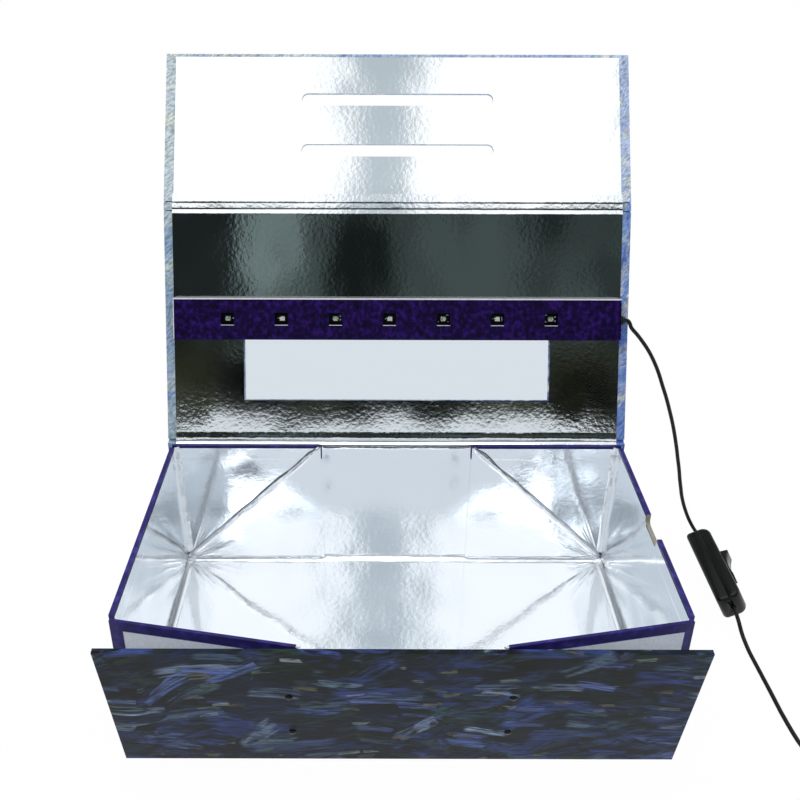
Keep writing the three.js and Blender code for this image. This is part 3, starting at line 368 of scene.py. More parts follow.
def painted_paper(name, grounds, layers, fade=None, comb=0):
    """Offset print. Each layer: sizes of a block and of a brush line, share, turn, shades."""
    # In mm: the print sways by 24 over 70, its ground changes every 48, and hairs are 9 by 0.9.
    sway, swell_size, zone_size, hair_long, hair_wide = 24, 70, 48, 9, 0.9
    material, tree, surface, place = finish(name, Roughness=0.42, Specular_IOR_Level=0.1)
    swell = add(tree, "TexNoise", {"Vector": place, "Scale": 1 / (swell_size * mm), "Detail": 1.0})
    offset = add(tree, "VectorMath",
                 {0: swell.outputs["Color"], 1: (0.5, 0.5, 0.5)}, operation="SUBTRACT").outputs[0]
    reach = add(tree, "VectorMath", {0: offset, "Scale": sway * mm}, operation="SCALE").outputs[0]
    flow = add(tree, "VectorMath", {0: place, 1: reach}).outputs[0]
    zone = add(tree, "TexNoise",
               {"Vector": place, "Scale": 1 / (zone_size * mm), "Detail": 3.0}).outputs["Fac"]
    base = add(tree, "ValToRGB", {"Fac": zone}, stops=grounds).outputs["Color"]
    if fade:
        across = add(tree, "SeparateXYZ", {0: place}).outputs["X"]
        side = add(tree, "MapRange",
                   {"Value": across, "From Min": -90 * mm, "From Max": 90 * mm}).outputs[0]
        other = add(tree, "ValToRGB", {"Fac": zone}, stops=fade).outputs["Color"]
        base = add(tree, "Mix", {0: side, 6: base, 7: other}, data_type="RGBA").outputs[2]
    height = None
    for i, (block, hair, keep, turn, shades) in enumerate(layers):
        turned = add(tree, "Mapping",
                     {"Vector": flow, "Rotation": (0, math.radians(turn), 0)}).outputs[0]
        cover, red, blue = brush_layer(tree, turned, block, hair, keep,
                                       (0.031 * i, 0.017 * i, 0.023 * i))
        paint = add(tree, "ValToRGB", {"Fac": red}, stops=shades).outputs["Color"]
        strength = add(tree, "MapRange", {"Value": blue, "To Min": 0.35}).outputs[0]
        part = add(tree, "Math", {0: cover, 1: strength}, operation="MULTIPLY").outputs[0]
        base = add(tree, "Mix", {0: part, 6: base, 7: paint}, data_type="RGBA").outputs[2]
        height = cover if height is None else add(
            tree, "Math", {0: height, 1: cover}, operation="MAXIMUM").outputs[0]
    combed = add(tree, "Mapping",
                 {"Vector": flow, "Rotation": (0, math.radians(comb), 0)}).outputs[0]
    hairs = add(tree, "VectorMath",
                {0: combed, 1: (1 / (hair_long * mm), 1 / (hair_wide * mm), 1 / (hair_wide * mm))},
                operation="MULTIPLY").outputs[0]
    bristle = add(tree, "TexNoise", {"Vector": hairs, "Scale": 1.0, "Detail": 3.0}).outputs["Fac"]
    dim = add(tree, "MapRange", {"Value": bristle, "From Min": 0.3, "From Max": 0.7,
                                 "To Min": 0.5, "To Max": 1.4}).outputs[0]
    shaded = add(tree, "VectorMath", {0: base, "Scale": dim}, operation="SCALE").outputs[0]
    tree.links.new(shaded, surface.inputs["Base Color"])
    relief = add(tree, "Bump", {"Height": height, "Strength": 0.3, "Distance": 0.06 * mm})
    tree.links.new(relief.outputs["Normal"], surface.inputs["Normal"])
    return material


dusk = [(0.0, "#0d1216"), (0.25, "#26382f"), (0.5, "#1f2c56"), (0.75, "#2a3a3c"), (1.0, "#344278")]
blues = [(0.0, "#151c2c"), (0.18, "#2f3e6e"), (0.4, "#3f5092"), (0.6, "#6274ab"), (0.78, "#335159"),
         (1.0, "#9db0d2")]
olives = [(0.0, "#85824a"), (0.35, "#6f6248"), (0.6, "#5f7560"), (1.0, "#9aa3ab")]
night = painted_paper(
    "paper, offset printed in dark blues, matt laminated",
    grounds=[(0.35, "#0e1314"), (0.46, "#141c29"), (0.56, "#111b18"), (0.68, "#1a2232")],
    layers=[((26, 7), (18, 1.6), 0.9, 20, dusk), ((46, 11), (34, 2.4), 0.46, 0, blues),
            ((20, 6), (15, 1.2), 0.5, -12, dusk), ((30, 10), (18, 2.2), 0.26, 36, blues),
            ((24, 6), (20, 1.5), 0.4, -4, blues), ((11, 3.2), (8, 0.8), 0.1, 8, olives)])
mixed = [(0.0, "#3f62b0"), (0.25, "#d6e0e2"), (0.5, "#5a7dc4"), (0.75, "#f4f4e8"), (1.0, "#2d4496")]
straw = [(0.0, "#d9d6b6"), (0.5, "#a3ba9e"), (1.0, "#efecdc")]
sky = painted_paper(
    "paper, offset printed in light blues, matt laminated",
    grounds=[(0.3, "#7f98b8"), (0.5, "#aebfca"), (0.7, "#7fa2c8")],
    layers=[((20, 6.5), (18, 2.6), 0.72, 52, mixed), ((28, 6), (20, 2.2), 0.5, 33, mixed),
            ((15, 5), (12, 1.6), 0.3, 62, straw)],
    fade=[(0.3, "#5270c6"), (0.5, "#86a2d8"), (0.7, "#6081cd")], comb=48)
mild = [(0.0, "#6587cd"), (0.25, "#eaf0f1"), (0.5, "#93addd"), (0.75, "#f9f9f3"), (1.0, "#566fbe")]
cream = [(0.0, "#e6e3c8"), (0.5, "#cbd8c4"), (1.0, "#f6f4e8")]
pale = painted_paper(
    "paper, offset printed in pale blues, matt laminated",
    grounds=[(0.3, "#b7c8d9"), (0.5, "#d0dbe0"), (0.7, "#b1c7dd")],
    layers=[((26, 8), (22, 3.0), 0.75, 56, mild), ((30, 7), (22, 2.4), 0.5, 40, mild),
            ((15, 5), (12, 1.5), 0.3, 66, cream)],
    fade=[(0.3, "#a3b7e2"), (0.5, "#bccbea"), (0.7, "#a9bde4")], comb=52)
dress(night, "base_board", "front_board")
dress(sky, "back_board", "lid_board", "lid_spine")
dress(pale, "flap_board")

# The tray's own paper is a plain violet, printed solid, with a slight mottle and lighter rubbed spots.
violet = mottled("paper, printed solid violet", (5, 4.0),
                 [(0.3, "#1d1656"), (0.55, "#2a2270"), (0.75, "#453f93")],
                 (0.4, 2.0, 0.25, 0.05), Roughness=0.45, Specular_IOR_Level=0.25)
dress(violet, "left_wall_board", "right_wall_board")

# ---------------------------------------------------------------- foil linings
# Aluminium foil laminated to paper, glued down by hand: a mirror with a fine crinkle and broad waves.
# In the tray it is creased outward from each bottom corner, where the walls fold.


def foil(name, tint, rough, crinkle, wave, corners=False, grain=2.6, metal=1.0):
    """Laid foil: crinkle and wave are relief depths in mm, grain is the crinkle's size."""
    material, tree, surface, place = finish(name, Metallic=metal, Base_Color=linear(tint))
    fine = add(tree, "TexNoise", {"Vector": place, "Scale": 1 / (grain * mm),
                                  "Detail": 2.0, "Roughness": 0.5}).outputs["Fac"]
    broad = add(tree, "TexNoise",
                {"Vector": place, "Scale": 1 / (38 * mm), "Detail": 1.0}).outputs["Fac"]
    patch = add(tree, "MapRange",
                {"Value": broad, "From Min": 0.35, "From Max": 0.65, "To Min": 0.55}).outputs[0]
    small = add(tree, "Math", {0: fine, 1: patch}, operation="MULTIPLY").outputs[0]
    first = add(tree, "Bump", {"Height": small, "Distance": crinkle * mm})
    second = add(tree, "Bump", {"Height": broad, "Distance": wave * mm,
                                "Normal": first.outputs["Normal"]})
    normal = second.outputs["Normal"]
    if corners:
        # Creases fan out 46 mm from each bottom corner, and the ears' foil laps over a band at the rim.
        bottom_corner = (124 * mm, 62 * mm, 3 * mm)
        same = add(tree, "VectorMath", {0: place}, operation="ABSOLUTE").outputs[0]
        away = add(tree, "VectorMath", {0: same, 1: bottom_corner}, operation="SUBTRACT").outputs[0]
        heading = add(tree, "VectorMath", {0: away}, operation="NORMALIZE").outputs[0]
        distance = add(tree, "VectorMath", {0: away}, operation="LENGTH").outputs["Value"]
        rays = add(tree, "TexNoise",
                   {"Vector": heading, "Scale": 3.0, "Detail": 3.0, "Roughness": 0.6}).outputs["Fac"]
        fade = add(tree, "MapRange", {"Value": distance, "From Min": 46 * mm, "From Max": 2 * mm},
                   interpolation_type="SMOOTHERSTEP").outputs[0]
        fan = add(tree, "Math", {0: rays, 1: fade}, operation="MULTIPLY").outputs[0]
        third = add(tree, "Bump", {"Height": fan, "Distance": 1.6 * mm, "Normal": normal})
        spot = add(tree, "SeparateXYZ", {0: same})
        turned_in = add(tree, "MapRange",
                        {"Value": spot.outputs["Z"], "From Min": 77.2 * mm, "From Max": 77.8 * mm},
                        interpolation_type="SMOOTHSTEP").outputs[0]
        outward = add(tree, "Math", {0: spot.outputs["X"], 1: 52 * mm},
                      operation="GREATER_THAN").outputs[0]
        turned_in = add(tree, "Math", {0: turned_in, 1: outward}, operation="MULTIPLY").outputs[0]
        fourth = add(tree, "Bump", {"Height": turned_in, "Distance": 0.05 * mm,
                                    "Normal": third.outputs["Normal"]})
        normal = fourth.outputs["Normal"]
    dull = add(tree, "MapRange", {"Value": broad, "From Min": 0.35, "From Max": 0.7,
                                  "To Min": rough, "To Max": rough + 0.05}).outputs[0]
    tree.links.new(dull, surface.inputs["Roughness"])
    tree.links.new(normal, surface.inputs["Normal"])
    return material


tray_foil = foil("aluminium foil, laminated and creased", "#f0f3f6", 0.07, 0.05, 0.5, corners=True)
lid_foil = foil("aluminium foil, laminated", "#f1f4f5", 0.04, 0.034, 0.3, grain=2.2)
dress(tray_foil, "base_liner", "left_wall_liner", "right_wall_liner", "back_liner", "front_liner",
      "back_left_ear_glued", "back_left_ear_fold", "back_right_ear_glued", "back_right_ear_fold",
      "front_left_ear_glued", "front_left_ear_fold", "front_right_ear_glued", "front_right_ear_fold")
dress(lid_foil, "lid_liner", "flap_liner")

# ---------------------------------------------------------------- folds of the lining
# Where the lining crosses a fold it is loose: the foil bridges the joint in a small rounded strip,
# pinched and slightly wavy. Each strip is bent from a flat sheet.
# Crumpled by hand the foil loses some of its mirror. Folded tight it keeps it, with a flatter crinkle.
fold_foil = foil("aluminium foil, folded by hand", "#f2f4f7", 0.1, 0.11, 0.5, grain=1.4,
                 metal=0.85)
tight_foil = foil("aluminium foil, folded tight", "#eef1f4", 0.07, 0.07, 0.5, grain=1.8)

sides = ((-1, "left"), (1, "right"))
tray_half = 0.1225


def strip(name, profile, start, step, count, thickness, material, waver=0.0, seed=0, bend=None):
    """A strip drawn out from a profile, by step from start, all in metres, wavy by up to waver."""
    shape = bmesh.new()
    row = [shape.verts.new(Vector(p) + Vector(start)) for p in profile]
    edges = [shape.edges.new(pair) for pair in zip(row, row[1:])]
    bmesh.ops.spin(shape, geom=row + edges, cent=(0, 0, 0), axis=(1, 0, 0), dvec=Vector(step) / count,
                   angle=0, steps=count, use_merge=False, use_duplicate=False)
    bmesh.ops.remove_doubles(shape, verts=shape.verts, dist=1e-7)
    bmesh.ops.recalc_face_normals(shape, faces=shape.faces)
    if bend:
        for v in shape.verts:
            v.co = bend(v.co)
    if waver:
        for v in shape.verts:
            push = noise.noise(v.co * 110 + Vector((seed, 0, 0))) + 0.6 * noise.noise(v.co * 330)
            v.co += v.normal * push * waver
    return stand(name, shape, material, thickness)


def mm_points(*points):
    return [Vector(p) * mm for p in points]


def behind_ears(co):
    """Between the corner ears the lining lies 1.4 mm deeper, on the wall itself."""
    middle = ease((44.6 * mm - abs(co.x)) / (1.4 * mm))
    rise = ease((co.z - 2.6 * mm) / (1.6 * mm))
    return co + Vector((0, math.copysign(1.36 * mm, co.y) * middle * rise, 0))


fold = strip(
    "back_fold_foil",
    mm_points((0, 60.6, 2.68), (0, 61.5, 2.85), (0, 62.1, 3.3), (0, 62.4, 4.1), (0, 62.48, 5.4)),
    (-tray_half, 0, 0), (2 * tray_half, 0, 0), 110, 0.15 * mm, fold_foil, 0.16 * mm, 3, behind_ears)
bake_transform(fold)

# The front panel leans out by 9 degrees about its fold.
front_foot = Vector((0, -0.0665, 0))
lean_out = Matrix.Translation(front_foot) @ Matrix.Rotation(math.radians(9), 4, "X")


def front_bend(co):
    inner = behind_ears(co)
    return inner.lerp(lean_out @ (inner - front_foot), ease((co.z - 2.6 * mm) / (2.2 * mm)))


tape = strip(
    "front_fold_foil",
    mm_points((0, -59.4, 2.72), (0, -61.0, 3.0), (0, -61.8, 3.8), (0, -62.2, 5.2), (0, -62.3, 8.0)),
    (-tray_half, 0, 0), (2 * tray_half, 0, 0), 110, 0.15 * mm, fold_foil, 0.14 * mm, 9, front_bend)
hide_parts("front_hinge_tape")
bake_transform(tape)

for side, label in sides:
    fold = strip(label + "_fold_foil",
                 mm_points((side * 121.4, 0, 2.7), (side * 123.0, 0, 2.95), (side * 123.9, 0, 3.6),
                           (side * 124.15, 0, 4.8), (side * 124.25, 0, 6.4)),
                 (0, -0.0600, 0), (0, 0.120, 0), 60, 0.15 * mm, fold_foil, 0.14 * mm, 20 + side)
    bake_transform(fold)


def ridge(name, low, high, out, width, height, count, material, seed, place=None):
    """A pinched fold standing up from a sheet, from low to high. Its line, width, height and pinch
    vary along it, each by its own noise."""
    low, high, out = Vector(low) * mm, Vector(high) * mm, Vector(out).normalized()
    across = (high - low).normalized().cross(out)
    shape = bmesh.new()
    bmesh.ops.create_grid(shape, x_segments=count, y_segments=8, size=0.5)
    for v in shape.verts:
        along, over = v.co.x + 0.5, v.co.y * 2
        centre = low.lerp(high, along)
        swing = noise.noise(Vector((along * 9, seed, 0))) * 0.35
        wide = width * mm * (0.8 + 0.35 * noise.noise(Vector((along * 7, seed, 5))))
        tall = height * mm * (0.75 + 0.4 * noise.noise(Vector((along * 14, seed, 9))))
        crown = max(0.0, 1 - over * over) ** 0.7
        wide *= 0.35 + 0.65 * ease(min(along, 1 - along) * 14)
        pinch = 0.7 + noise.noise(Vector((along * 24, seed, 3)))
        pinch *= 0.16 * math.sin(over * 9 + swing * 7)
        pinch += 0.2 * noise.noise(Vector((along * 60, over * 2.2, seed)))
        v.co = centre + across * (over + swing) * wide / 2
        v.co += out * (crown * (tall + pinch * mm) + 0.06 * mm)
    bmesh.ops.recalc_face_normals(shape, faces=shape.faces)
    made = stand(name, shape, material, 0.12 * mm, 60)
    if place:
        made.data.transform(place)
    return made


# Where the folds meet in a bottom corner, the foil is gathered into a small crumpled knot.
for side, label in sides:
    shape = bmesh.new()
    bmesh.ops.create_icosphere(shape, subdivisions=4, radius=1)
    corner = Vector((side * 0.1228, 0.0612, 0.0029))
    for v in shape.verts:
        push = 1 + 0.3 * noise.noise(v.co * 2.6 + Vector((side, 0, 0))) + 0.12 * noise.noise(v.co * 7)
        v.co = corner + Vector((v.co.x * 2.6, v.co.y * 1.9, v.co.z * 1.9)) * push * mm
    knot = stand("back_%s_knot_foil" % label, shape, fold_foil)
    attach(knot, "base")

# The diagonal creases of the ears, from each bottom corner up to the rim.
for side, label in sides:
    crease = ridge("back_%s_crease_foil" % label, (side * 124.0, 62.55, 5.4), (side * 43.4, 62.55, 86.0),
                   (0, -1, 0), 4.8, 0.6, 90, fold_foil, 31 + side)
    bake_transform(crease)
    crease = ridge("front_%s_crease_foil" % label, (side * 119.2, 3.95, 10.6), (side * 45.6, 3.95, 84.2),
                   (0, 1, 0), 4.0, 0.55, 86, fold_foil, 41 + side, lean_out)
    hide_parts("front_%s_crease" % label)
    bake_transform(crease)

# The upright corner folds, a bead of foil between ear and side wall.
for side, label in sides:
    bead = strip("back_%s_corner_foil" % label,
                 mm_points((side * 121.6, 62.5, 0), (side * 123.0, 62.2, 0), (side * 124.0, 61.5, 0),
                           (side * 125.0, 61.05, 0), (side * 126.0, 61.25, 0), (side * 126.5, 62.0, 0)),
                 (0, 0, 0.0098), (0, 0, 0.0765), 60, 0.12 * mm, fold_foil, 0.22 * mm, 50 + side)
    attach(bead, "back_ear_" + label)

# ---------------------------------------------------------------- turned-in paper of the tray
# The violet paper is turned over the rim of the ears. On the front ears, whose backs show, it runs
# 5 mm down the card and 4 to 6 mm in from the corner, and the bare field is uncoated white card.
card = mottled("white card, uncoated", (1.2, 4.0), [(0.3, "#e2e7f0"), (0.7, "#f3f5f9")],
               (1.2, 4.0, 0.3, 0.05), Roughness=0.75)
at_back = Matrix.Translation((0, 0.0665, 0))
for side, label in sides:
    inner, outer = side * 43.2, side * 126.5
    rim = flat_piece(
        "back_%s_ear_rim" % label, violet, at_back,
        ([(inner + side * 1.6, 85.2), (outer, 85.2), (outer, 86.75), (inner, 86.75)], -3.95, 0.12),
        (oblong(inner, 86.72, outer, 86.84), -2.65, 1.42))
    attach(rim, "back_ear_" + label)
    edge = flat_piece("back_%s_ear_edge" % label, violet, at_back,
                      (oblong(side * 42.2, 78.0, side * 42.75, 86.4), -2.75, 1.3))
    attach(edge, "back_wall")

# The folding front ear leans about its crease, as its solid does.
for side, label in sides:
    corner = Vector((side * 127, 3.9, 2.5)) * mm
    lean = (lean_out @ Matrix.Translation(corner)
            @ Matrix.Rotation(math.radians(12.78), 4, Vector((-1, 0, side)).normalized())
            @ Matrix.Translation(-corner))
    inner, outer, margin = side * 44.4, side * 126.7, side * (120.8 if side < 0 else 122.8)
    field = flat_piece(
        "front_%s_ear_card" % label, card, lean,
        ([(side * 121.4, 10.2), (side * 126.2, 10.2), (side * 126.2, 86.3), (side * 45.0, 86.3)],
         2.69, 0.03))
    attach(field, "front_ear_" + label)
    rim = flat_piece(
        "front_%s_ear_rim" % label, violet, lean,
        ([(side * 50.2, 81.6), (margin, 81.6), (margin, 10.4), (outer, 10.4), (outer, 86.8),
          (inner, 86.8)], 2.655, 0.03),
        (oblong(inner, 86.74, outer, 86.88), 4.05, 1.4),
        ([(side * 46.0, 85.6), (side * 126.6, 85.6), (side * 126.6, 86.8), (side * 44.6, 86.8)],
         4.06, 0.12))
    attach(rim, "front_ear_" + label)

# The notch for the cord is punched after wrapping, so the grey board shows in it.
grey = mottled("grey board, cut", (0.5, 3.0), [(0.3, "#7e7a70"), (0.7, "#aaa497")], Roughness=0.85)
notch = strip("notch_cut_edge",
              mm_points((0, -12.75, 87.0), (0, -12.75, 83.5), (0, -12.2, 82.1), (0, -10.8, 81.55),
                        (0, 3.2, 81.55), (0, 4.6, 82.1), (0, 5.15, 83.5), (0, 5.15, 87.0)),
              (0.1248, 0, 0), (0.00215, 0, 0), 2, 0.08 * mm, grey)
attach(notch, "side_wall_right")

# ---------------------------------------------------------------- lid and flap folds
# The lining runs on from the lid over the narrow spine to the flap, and from the lid down to the back
# wall. Outside, the printed paper bridges the same folds. All four are curved sheets, drawn for the open
# lid. The open lid leans back by 21.6 degrees, and the spine and the flap by 4.7 degrees more each.
on_lid = Matrix.Translation((0, 0.0659, 0.0876)) @ Matrix.Rotation(math.radians(-21.6), 4, "X")
on_spine = on_lid @ Matrix.Translation((0, 0, 0.1296)) @ Matrix.Rotation(math.radians(-4.7), 4, "X")
on_flap = on_spine @ Matrix.Translation((0, 0, 0.005)) @ Matrix.Rotation(math.radians(-4.7), 4, "X")


def points_on(place, *points):
    """Points (y, z), in mm from the lower inner edge of a board, where it stands at rest."""
    return [place @ Vector((0, y * mm, z * mm)) for y, z in points]


lining_half, cover_half = 0.1243, 0.129
bridge = strip("spine_foil",
               points_on(on_lid, (-0.36, 125.0), (-0.38, 127.6), (-0.52, 128.9))
               + points_on(on_spine, (-0.02, 0.4), (-0.2, 1.1), (-0.22, 1.7), (-0.3, 4.0), (-0.3, 4.5))
               + points_on(on_flap, (-0.54, 0.4), (-0.48, 0.8), (-0.44, 1.7), (-0.42, 4.4)),
               (-lining_half, 0, 0), (2 * lining_half, 0, 0), 120, 0.12 * mm, tight_foil, 0.05 * mm, 71)
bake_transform(bridge)

paper = strip("spine_paper",
              points_on(on_lid, (2.3, 124.0), (2.3, 128.4), (1.9, 129.4))
              + points_on(on_spine, (0.9, 1.0), (0.7, 2.5), (0.9, 4.0))
              + points_on(on_flap, (1.9, 0.4), (2.3, 1.4), (2.3, 5.0)),
              (-cover_half, 0, 0), (2 * cover_half, 0, 0), 40, 0.15 * mm, sky)
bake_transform(paper)


def over_rim(co):
    """Behind the ears the lining ends on the rim; between them it turns down onto the wall."""
    middle = ease((43 * mm - abs(co.x)) / (2 * mm))
    if co.z > 86.9 * mm or middle > 0.999:
        return co
    return co.lerp(Vector((co.x, 64.2 * mm, 87.12 * mm)), 1 - middle)


hinge = strip("lid_fold_foil",
              [Vector((0, 0.06385, 0.0838)), Vector((0, 0.06385, 0.0858)), Vector((0, 0.0641, 0.0869)),
               Vector((0, 0.0649, 0.08722)), Vector((0, 0.0655, 0.0876))]
              + points_on(on_lid, (-0.45, 0.9), (-0.62, 1.9), (-0.42, 3.2), (-0.38, 5.6)),
              (-lining_half, 0, 0), (2 * lining_half, 0, 0), 120, 0.12 * mm, tight_foil, 0.07 * mm, 83,
              over_rim)
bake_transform(hinge)

outer = strip("lid_hinge_paper",
              [Vector((0, 0.0666, 0.081)), Vector((0, 0.0666, 0.0850)), Vector((0, 0.06675, 0.0864)),
               Vector((0, 0.0672, 0.0873))] + points_on(on_lid, (2.15, 0.6), (2.3, 2.0), (2.3, 7.4)),
              (-cover_half, 0, 0), (2 * cover_half, 0, 0), 40, 0.28 * mm, sky)
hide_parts("lid_hinge_strip")
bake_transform(outer)

# ---------------------------------------------------------------- window
# A thin clear PET sheet lies in a rebate in the lid, put in from inside before the lining. It is smooth
# and slightly grey, with a faint wave. The lining is cut a little larger, so printed paper shows inside.
pet, tree, surface, place = finish("PET sheet, clear", Base_Color=linear("#dbe3eb"), Roughness=0.04,
                                   Transmission_Weight=1.0, IOR=1.3)
sheet_wave = add(tree, "TexNoise", {"Vector": place, "Scale": 1 / (40 * mm), "Detail": 1.0})
relief = add(tree, "Bump", {"Height": sheet_wave.outputs["Fac"], "Strength": 0.4, "Distance": 0.4 * mm})
tree.links.new(relief.outputs["Normal"], surface.inputs["Normal"])
dress(pet, "window_pane")
lined_x, lined_low, lined_high, shown = 85.9, 23.0, 61.9, 1.1
frame_line = flat_piece("window_paper_margin", sky, on_lid, *[
    (oblong(*corners), -0.02, 0.06) for corners in (
        (-lined_x, lined_low, lined_x, lined_low + shown),
        (-lined_x, lined_low + shown, -lined_x + shown, lined_high),
        (lined_x - shown, lined_low + shown, lined_x, lined_high))])
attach(frame_line, "lid")

# ---------------------------------------------------------------- lamp bar
# A channel of black PVC with a printed film over a black circuit board. Seven square holes in the film
# show a small lamp each, in a dark package beside its resistors. The label is left plain.
dress(moulding("rigid PVC, extruded", "#121018", "#1a1722", 0.4, 0.6), "led_bar_carrier")
# The film is glossy and deep violet, with a cloudy print.
film, tree, surface, place = finish("film label, printed violet", Roughness=0.25,
                                    Specular_IOR_Level=0.2)
stretched = add(tree, "VectorMath", {0: place, 1: (1 / (2.6 * mm), 1 / (2.0 * mm), 1 / (3.2 * mm))},
                operation="MULTIPLY").outputs[0]
mottle = add(tree, "TexNoise", {"Vector": stretched, "Scale": 1.0, "Detail": 3.0})
tone = add(tree, "ValToRGB", {"Fac": mottle.outputs["Fac"]},
           stops=[(0.3, "#0c051d"), (0.5, "#1a0a40"), (0.72, "#34176e")])
tree.links.new(tone.outputs["Color"], surface.inputs["Base Color"])
dress(film, "led_label_cover")
dress(mottled("glass-fibre board, black solder mask", (0.6, 2.0), [(0.3, "#060706"), (0.7, "#0d100e")],
              Roughness=0.3, Specular_IOR_Level=0.1), "led_pcb")
# Every other lamp has a cover of white ceramic. The others have a cloudy grey-green gel.
ceramic = mottled("alumina ceramic, fired", (0.8, 2.0), [(0.3, "#e9ece4"), (0.7, "#fbfcf8")],
                  Roughness=0.35)
gel = mottled("silicone gel over a lamp chip", (0.9, 3.0),
              [(0.35, "#71857a"), (0.5, "#a3b4a8"), (0.62, "#dde6dc")], Roughness=0.25)
package = moulding("epoxy lamp package, dark", "#0d100e", "#191d1a", 0.35, 0.4)
# In mm on the lid: the lamps' spacing and height, and the faces of lamps, circuit board and film.
lamp_pitch, lamp_z, lamp_face, board_face, film_face = 29.75, 70.3, -4.03, -3.22, -6.3
board_left, board_right = -122.4, 113.9
lamp_x = [(board_left + board_right) / 2 + (i - 3) * lamp_pitch for i in range(7)]
off_lid = on_lid.inverted()
pale_plates, dim_plates = [], []
for i, x in enumerate(lamp_x):
    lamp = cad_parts["led_%d" % (i + 1)]
    dress(package, lamp.name)
    lamp.data.materials.append(ceramic if i % 2 else gel)
    for face in lamp.data.polygons:
        if (off_lid @ lamp.matrix_world @ face.center).y < -4.05 * mm:
            face.material_index = 1
    if i % 2:
        outline = [(-1.1, -1.2), (1.6, -1.2), (1.6, 0.9), (1.1, 1.2), (-0.5, 1.2), (-0.7, 0.8),
                   (-1.6, 0.5), (-1.6, 0.1), (-1.1, 0.0)]
    else:
        outline = [(-1.6, -0.7), (1.5, -0.7), (1.6, 0.4), (1.2, 1.2), (-1.2, 1.2), (-1.4, 0.5)]
        pale_plates.append((oblong(x - 1.1, 69.1, x + 1.0, 69.65), lamp_face, 0.06))
    plate = ([(x + dx, lamp_z + dz) for dx, dz in outline], lamp_face, 0.06)
    (pale_plates if i % 2 else dim_plates).append(plate)
for name, material, plates in (("lamp_emitters", ceramic, pale_plates),
                               ("lamp_covers", gel, dim_plates)):
    made = flat_piece(name, material, on_lid, *plates)
    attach(made, "lid")

# The film's border is left white along the top and at one end.
white_ink = mottled("film label, white margin", (2, 2.0), [(0.3, "#dcdae4"), (0.7, "#f3f2f7")],
                    Roughness=0.35)
bar_end, bar_low, bar_high = -123.5, 58.7, 81.9
margin = flat_piece(
    "label_margin", white_ink, on_lid,
    (oblong(bar_end, bar_high - 0.9, -bar_end, bar_high - 0.05), film_face, 0.06),
    (oblong(bar_end + 0.02, bar_low + 0.2, bar_end + 0.5, bar_high - 1.0), film_face, 0.06))
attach(margin, "lid")

# Solder spots and small resistors beside the lamps, more of them by every other lamp. For each of a
# lamp's spots, in mm: how far it lies from the lamp in x and z, its width and its height.
solder = worn_metal("tin solder, reflowed", "#b9bdb9", "#e6e9e5", 0.3, 0.5)
spots = [[(2.7, 0.1, 0.7, 0.7)], [(-2.1, 0.1, 0.5, 0.5)], [(2.6, 1.3, 0.8, 0.6), (2.6, -0.6, 0.7, 0.9)],
         [(-2.1, -0.1, 0.5, 0.5)], [(2.3, 2.0, 1.4, 0.4), (2.7, -1.6, 0.5, 0.4), (-2.7, -1.6, 0.4, 0.4)],
         [(2.8, 0.0, 0.4, 2.4), (-2.1, 0.1, 0.5, 0.5)],
         [(2.5, 1.2, 0.9, 0.8), (2.5, -1.1, 0.9, 0.9), (-2.6, -1.6, 0.6, 0.7), (-2.5, 2.1, 0.7, 0.5)]]
chips = flat_piece("lamp_chip_parts", solder, on_lid, *[
    (oblong(x + dx - w / 2, lamp_z + dz - h / 2, x + dx + w / 2, lamp_z + dz + h / 2), board_face, 0.45)
    for x, blocks in zip(lamp_x, spots) for dx, dz, w, h in blocks])
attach(chips, "lid")

# Each hole in the film has a thin pale lower lip, where it is cut.
hole_half = 3.6
lips = flat_piece("label_hole_lips", white_ink, on_lid, *[
    (oblong(x - hole_half, 66.66, x + hole_half, 66.98), film_face, 0.05) for x in lamp_x])
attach(lips, "lid")

# ---------------------------------------------------------------- rivets
# Four domed tubular rivets in black-oxide steel go through the front board and hold its linings and
# the keeper plates. Oiled and black, each head shows one small bright spot.
oxide = worn_metal("steel, black oxide, oiled", "#08090a", "#15171a", 0.28, 0.25,
                   Coat_Weight=0.25, Coat_Roughness=0.06)
dress(oxide, *["front_rivet_%d" % i for i in range(1, 5)])

# ---------------------------------------------------------------- floor and light
# A white table and surround, and one soft lamp overhead. The foil is a mirror, so what stands around
# the box is areas of light in the world: two bright ones before it with a dimmer gap between them, a
# darker room below with a pale sweep low down, and an even white behind with a dimmer area high up.
bpy.ops.mesh.primitive_plane_add(size=8, location=(0, 0, -0.0002))
floor = bpy.context.object
floor.name = "floor"
# The table is painted matt white. Seen directly or in the foil it is the white of the surround.
paint, tree, surface, _ = finish("white table top, painted", Base_Color=(0.9, 0.9, 0.9, 1),
                                 Roughness=0.8)
own_white = 0.98
path = add(tree, "LightPath")
either = add(tree, "Math", {0: path.outputs["Is Camera Ray"], 1: path.outputs["Is Glossy Ray"]},
             operation="MAXIMUM").outputs[0]
either = add(tree, "Math", {0: either, 1: path.outputs["Is Transmission Ray"]},
             operation="MAXIMUM").outputs[0]
share = add(tree, "Math", {0: either, 1: own_white}, operation="MULTIPLY").outputs[0]
glow = add(tree, "Emission")
both = add(tree, "MixShader", {0: share, 1: surface.outputs[0], 2: glow.outputs[0]})
tree.links.new(both.outputs[0], tree.nodes["Material Output"].inputs["Surface"])
floor.data.materials.append(paint)

world = bpy.data.worlds.new("studio")
bpy.context.scene.world = world
world.use_nodes = True
tree = world.node_tree
aim = add(tree, "TexCoord").outputs["Generated"]
axes = add(tree, "SeparateXYZ", {0: aim})
behind, height = axes.outputs["Y"], axes.outputs["Z"]


def off_line(x):
    """How far a direction points to either side of a line ahead."""
    shifted = add(tree, "Math", {0: axes.outputs["X"], 1: -x}).outputs[0]
    return add(tree, "Math", {0: shifted}, operation="ABSOLUTE").outputs[0]


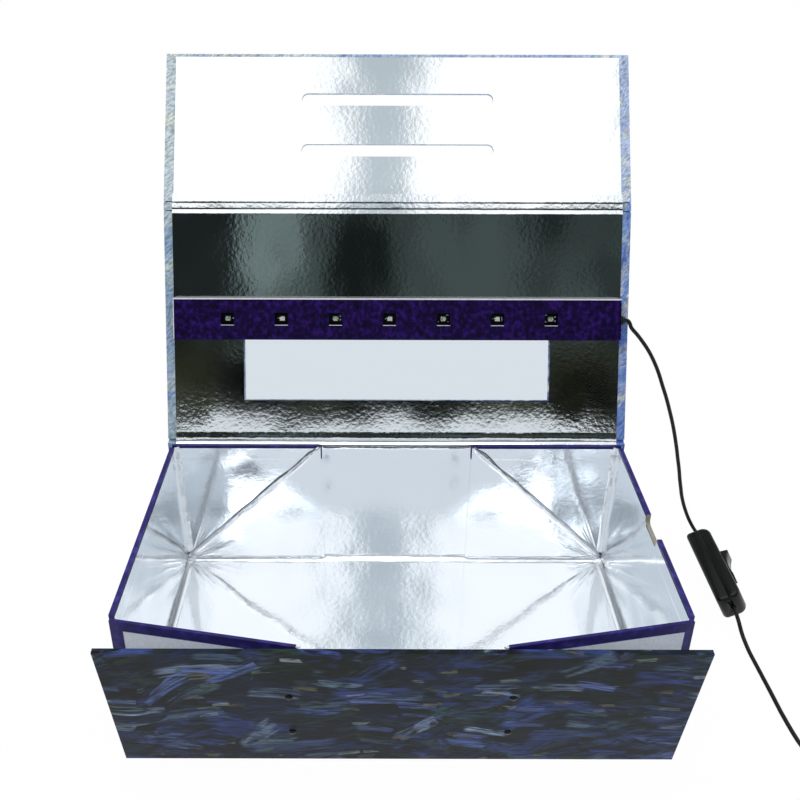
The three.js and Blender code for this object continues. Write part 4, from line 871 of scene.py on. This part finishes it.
def area(under, light, *edges):
    """Lays an area of light over another. Each soft edge: a value, where it begins, where it is full."""
    cover = None
    for value, begins, full in edges:
        edge = add(tree, "MapRange", {"Value": value, "From Min": begins, "From Max": full},
                   interpolation_type="SMOOTHSTEP").outputs[0]
        cover = edge if cover is None else add(
            tree, "Math", {0: cover, 1: edge}, operation="MULTIPLY").outputs[0]
    return add(tree, "Mix", {0: cover, 6: under, 7: light}, data_type="RGBA").outputs[2]


# Before the box, high up: the two lamps, the gap between them, and the dimmer wall at their sides.
ahead = off_line(0.005)
lamps = area((1.2, 1.22, 1.24, 1), (0.50, 0.57, 0.62, 1), (ahead, 0.062, 0.02))
lamps = area(lamps, (0.76, 0.82, 0.86, 1), (ahead, 0.265, 0.285))
# Below them: the dark room with one upright lighter patch, its dappled foot, and the sweep.
long_way = add(tree, "VectorMath", {0: aim, 1: (11.0, 1.0, 1.8)}, operation="MULTIPLY").outputs[0]
clouds = add(tree, "TexNoise", {"Vector": long_way, "Scale": 1.0, "Detail": 4.0}).outputs["Fac"]
room = add(tree, "ValToRGB", {"Fac": clouds},
           stops=[(0.42, "#151b19"), (0.50, "#1d2423"), (0.62, "#444f4e")]).outputs["Color"]
room = area(room, (0.19, 0.25, 0.25, 1), (off_line(-0.125), 0.05, 0.015), (clouds, 0.3, 0.62))
dapple = add(tree, "TexNoise", {"Vector": aim, "Scale": 13.0, "Detail": 3.0}).outputs["Fac"]
foot = add(tree, "ValToRGB", {"Fac": dapple}, stops=[(0.44, "#020302"), (0.60, "#2d3023")])
room = area(room, foot.outputs["Color"], (height, 0.27, 0.21))
spread = add(tree, "Math", {0: height, 1: 1.3, 2: ahead}, operation="MULTIPLY_ADD").outputs[0]
room = area(room, (0.75, 0.8, 0.84, 1), (spread, 0.425, 0.405), (height, 0.155, 0.145))
# Behind the box: even white with the dimmer area.
others = area((0.92, 0.95, 0.98, 1), (0.3, 0.33, 0.34, 1),
              (behind, 0.3, 0.5), (height, 0.3, 0.45), (height, 0.76, 0.70))
around = area(others, area(room, lamps, (height, 0.43, 0.50)), (behind, -0.30, -0.50))
path = add(tree, "LightPath")
colour = add(tree, "Mix", {0: path.outputs["Is Camera Ray"], 6: around, 7: (1, 1, 1, 1)},
             data_type="RGBA").outputs[2]
tree.links.new(colour, tree.nodes["Background"].inputs["Color"])
tree.nodes["Background"].inputs["Strength"].default_value = 1.0

softbox_data = bpy.data.lights.new("softbox", "AREA")
softbox_data.shape = "SQUARE"
softbox_data.size = 1.2
softbox_data.energy = 9
softbox = bpy.data.objects.new("softbox", softbox_data)
bpy.context.scene.collection.objects.link(softbox)
softbox.location = (-0.25, 0.1, 1.9)
softbox.rotation_euler = (Vector((0, 0, 0.05)) - softbox.location).to_track_quat("-Z", "Y").to_euler()

bpy.context.scene.view_settings.view_transform = "Standard"
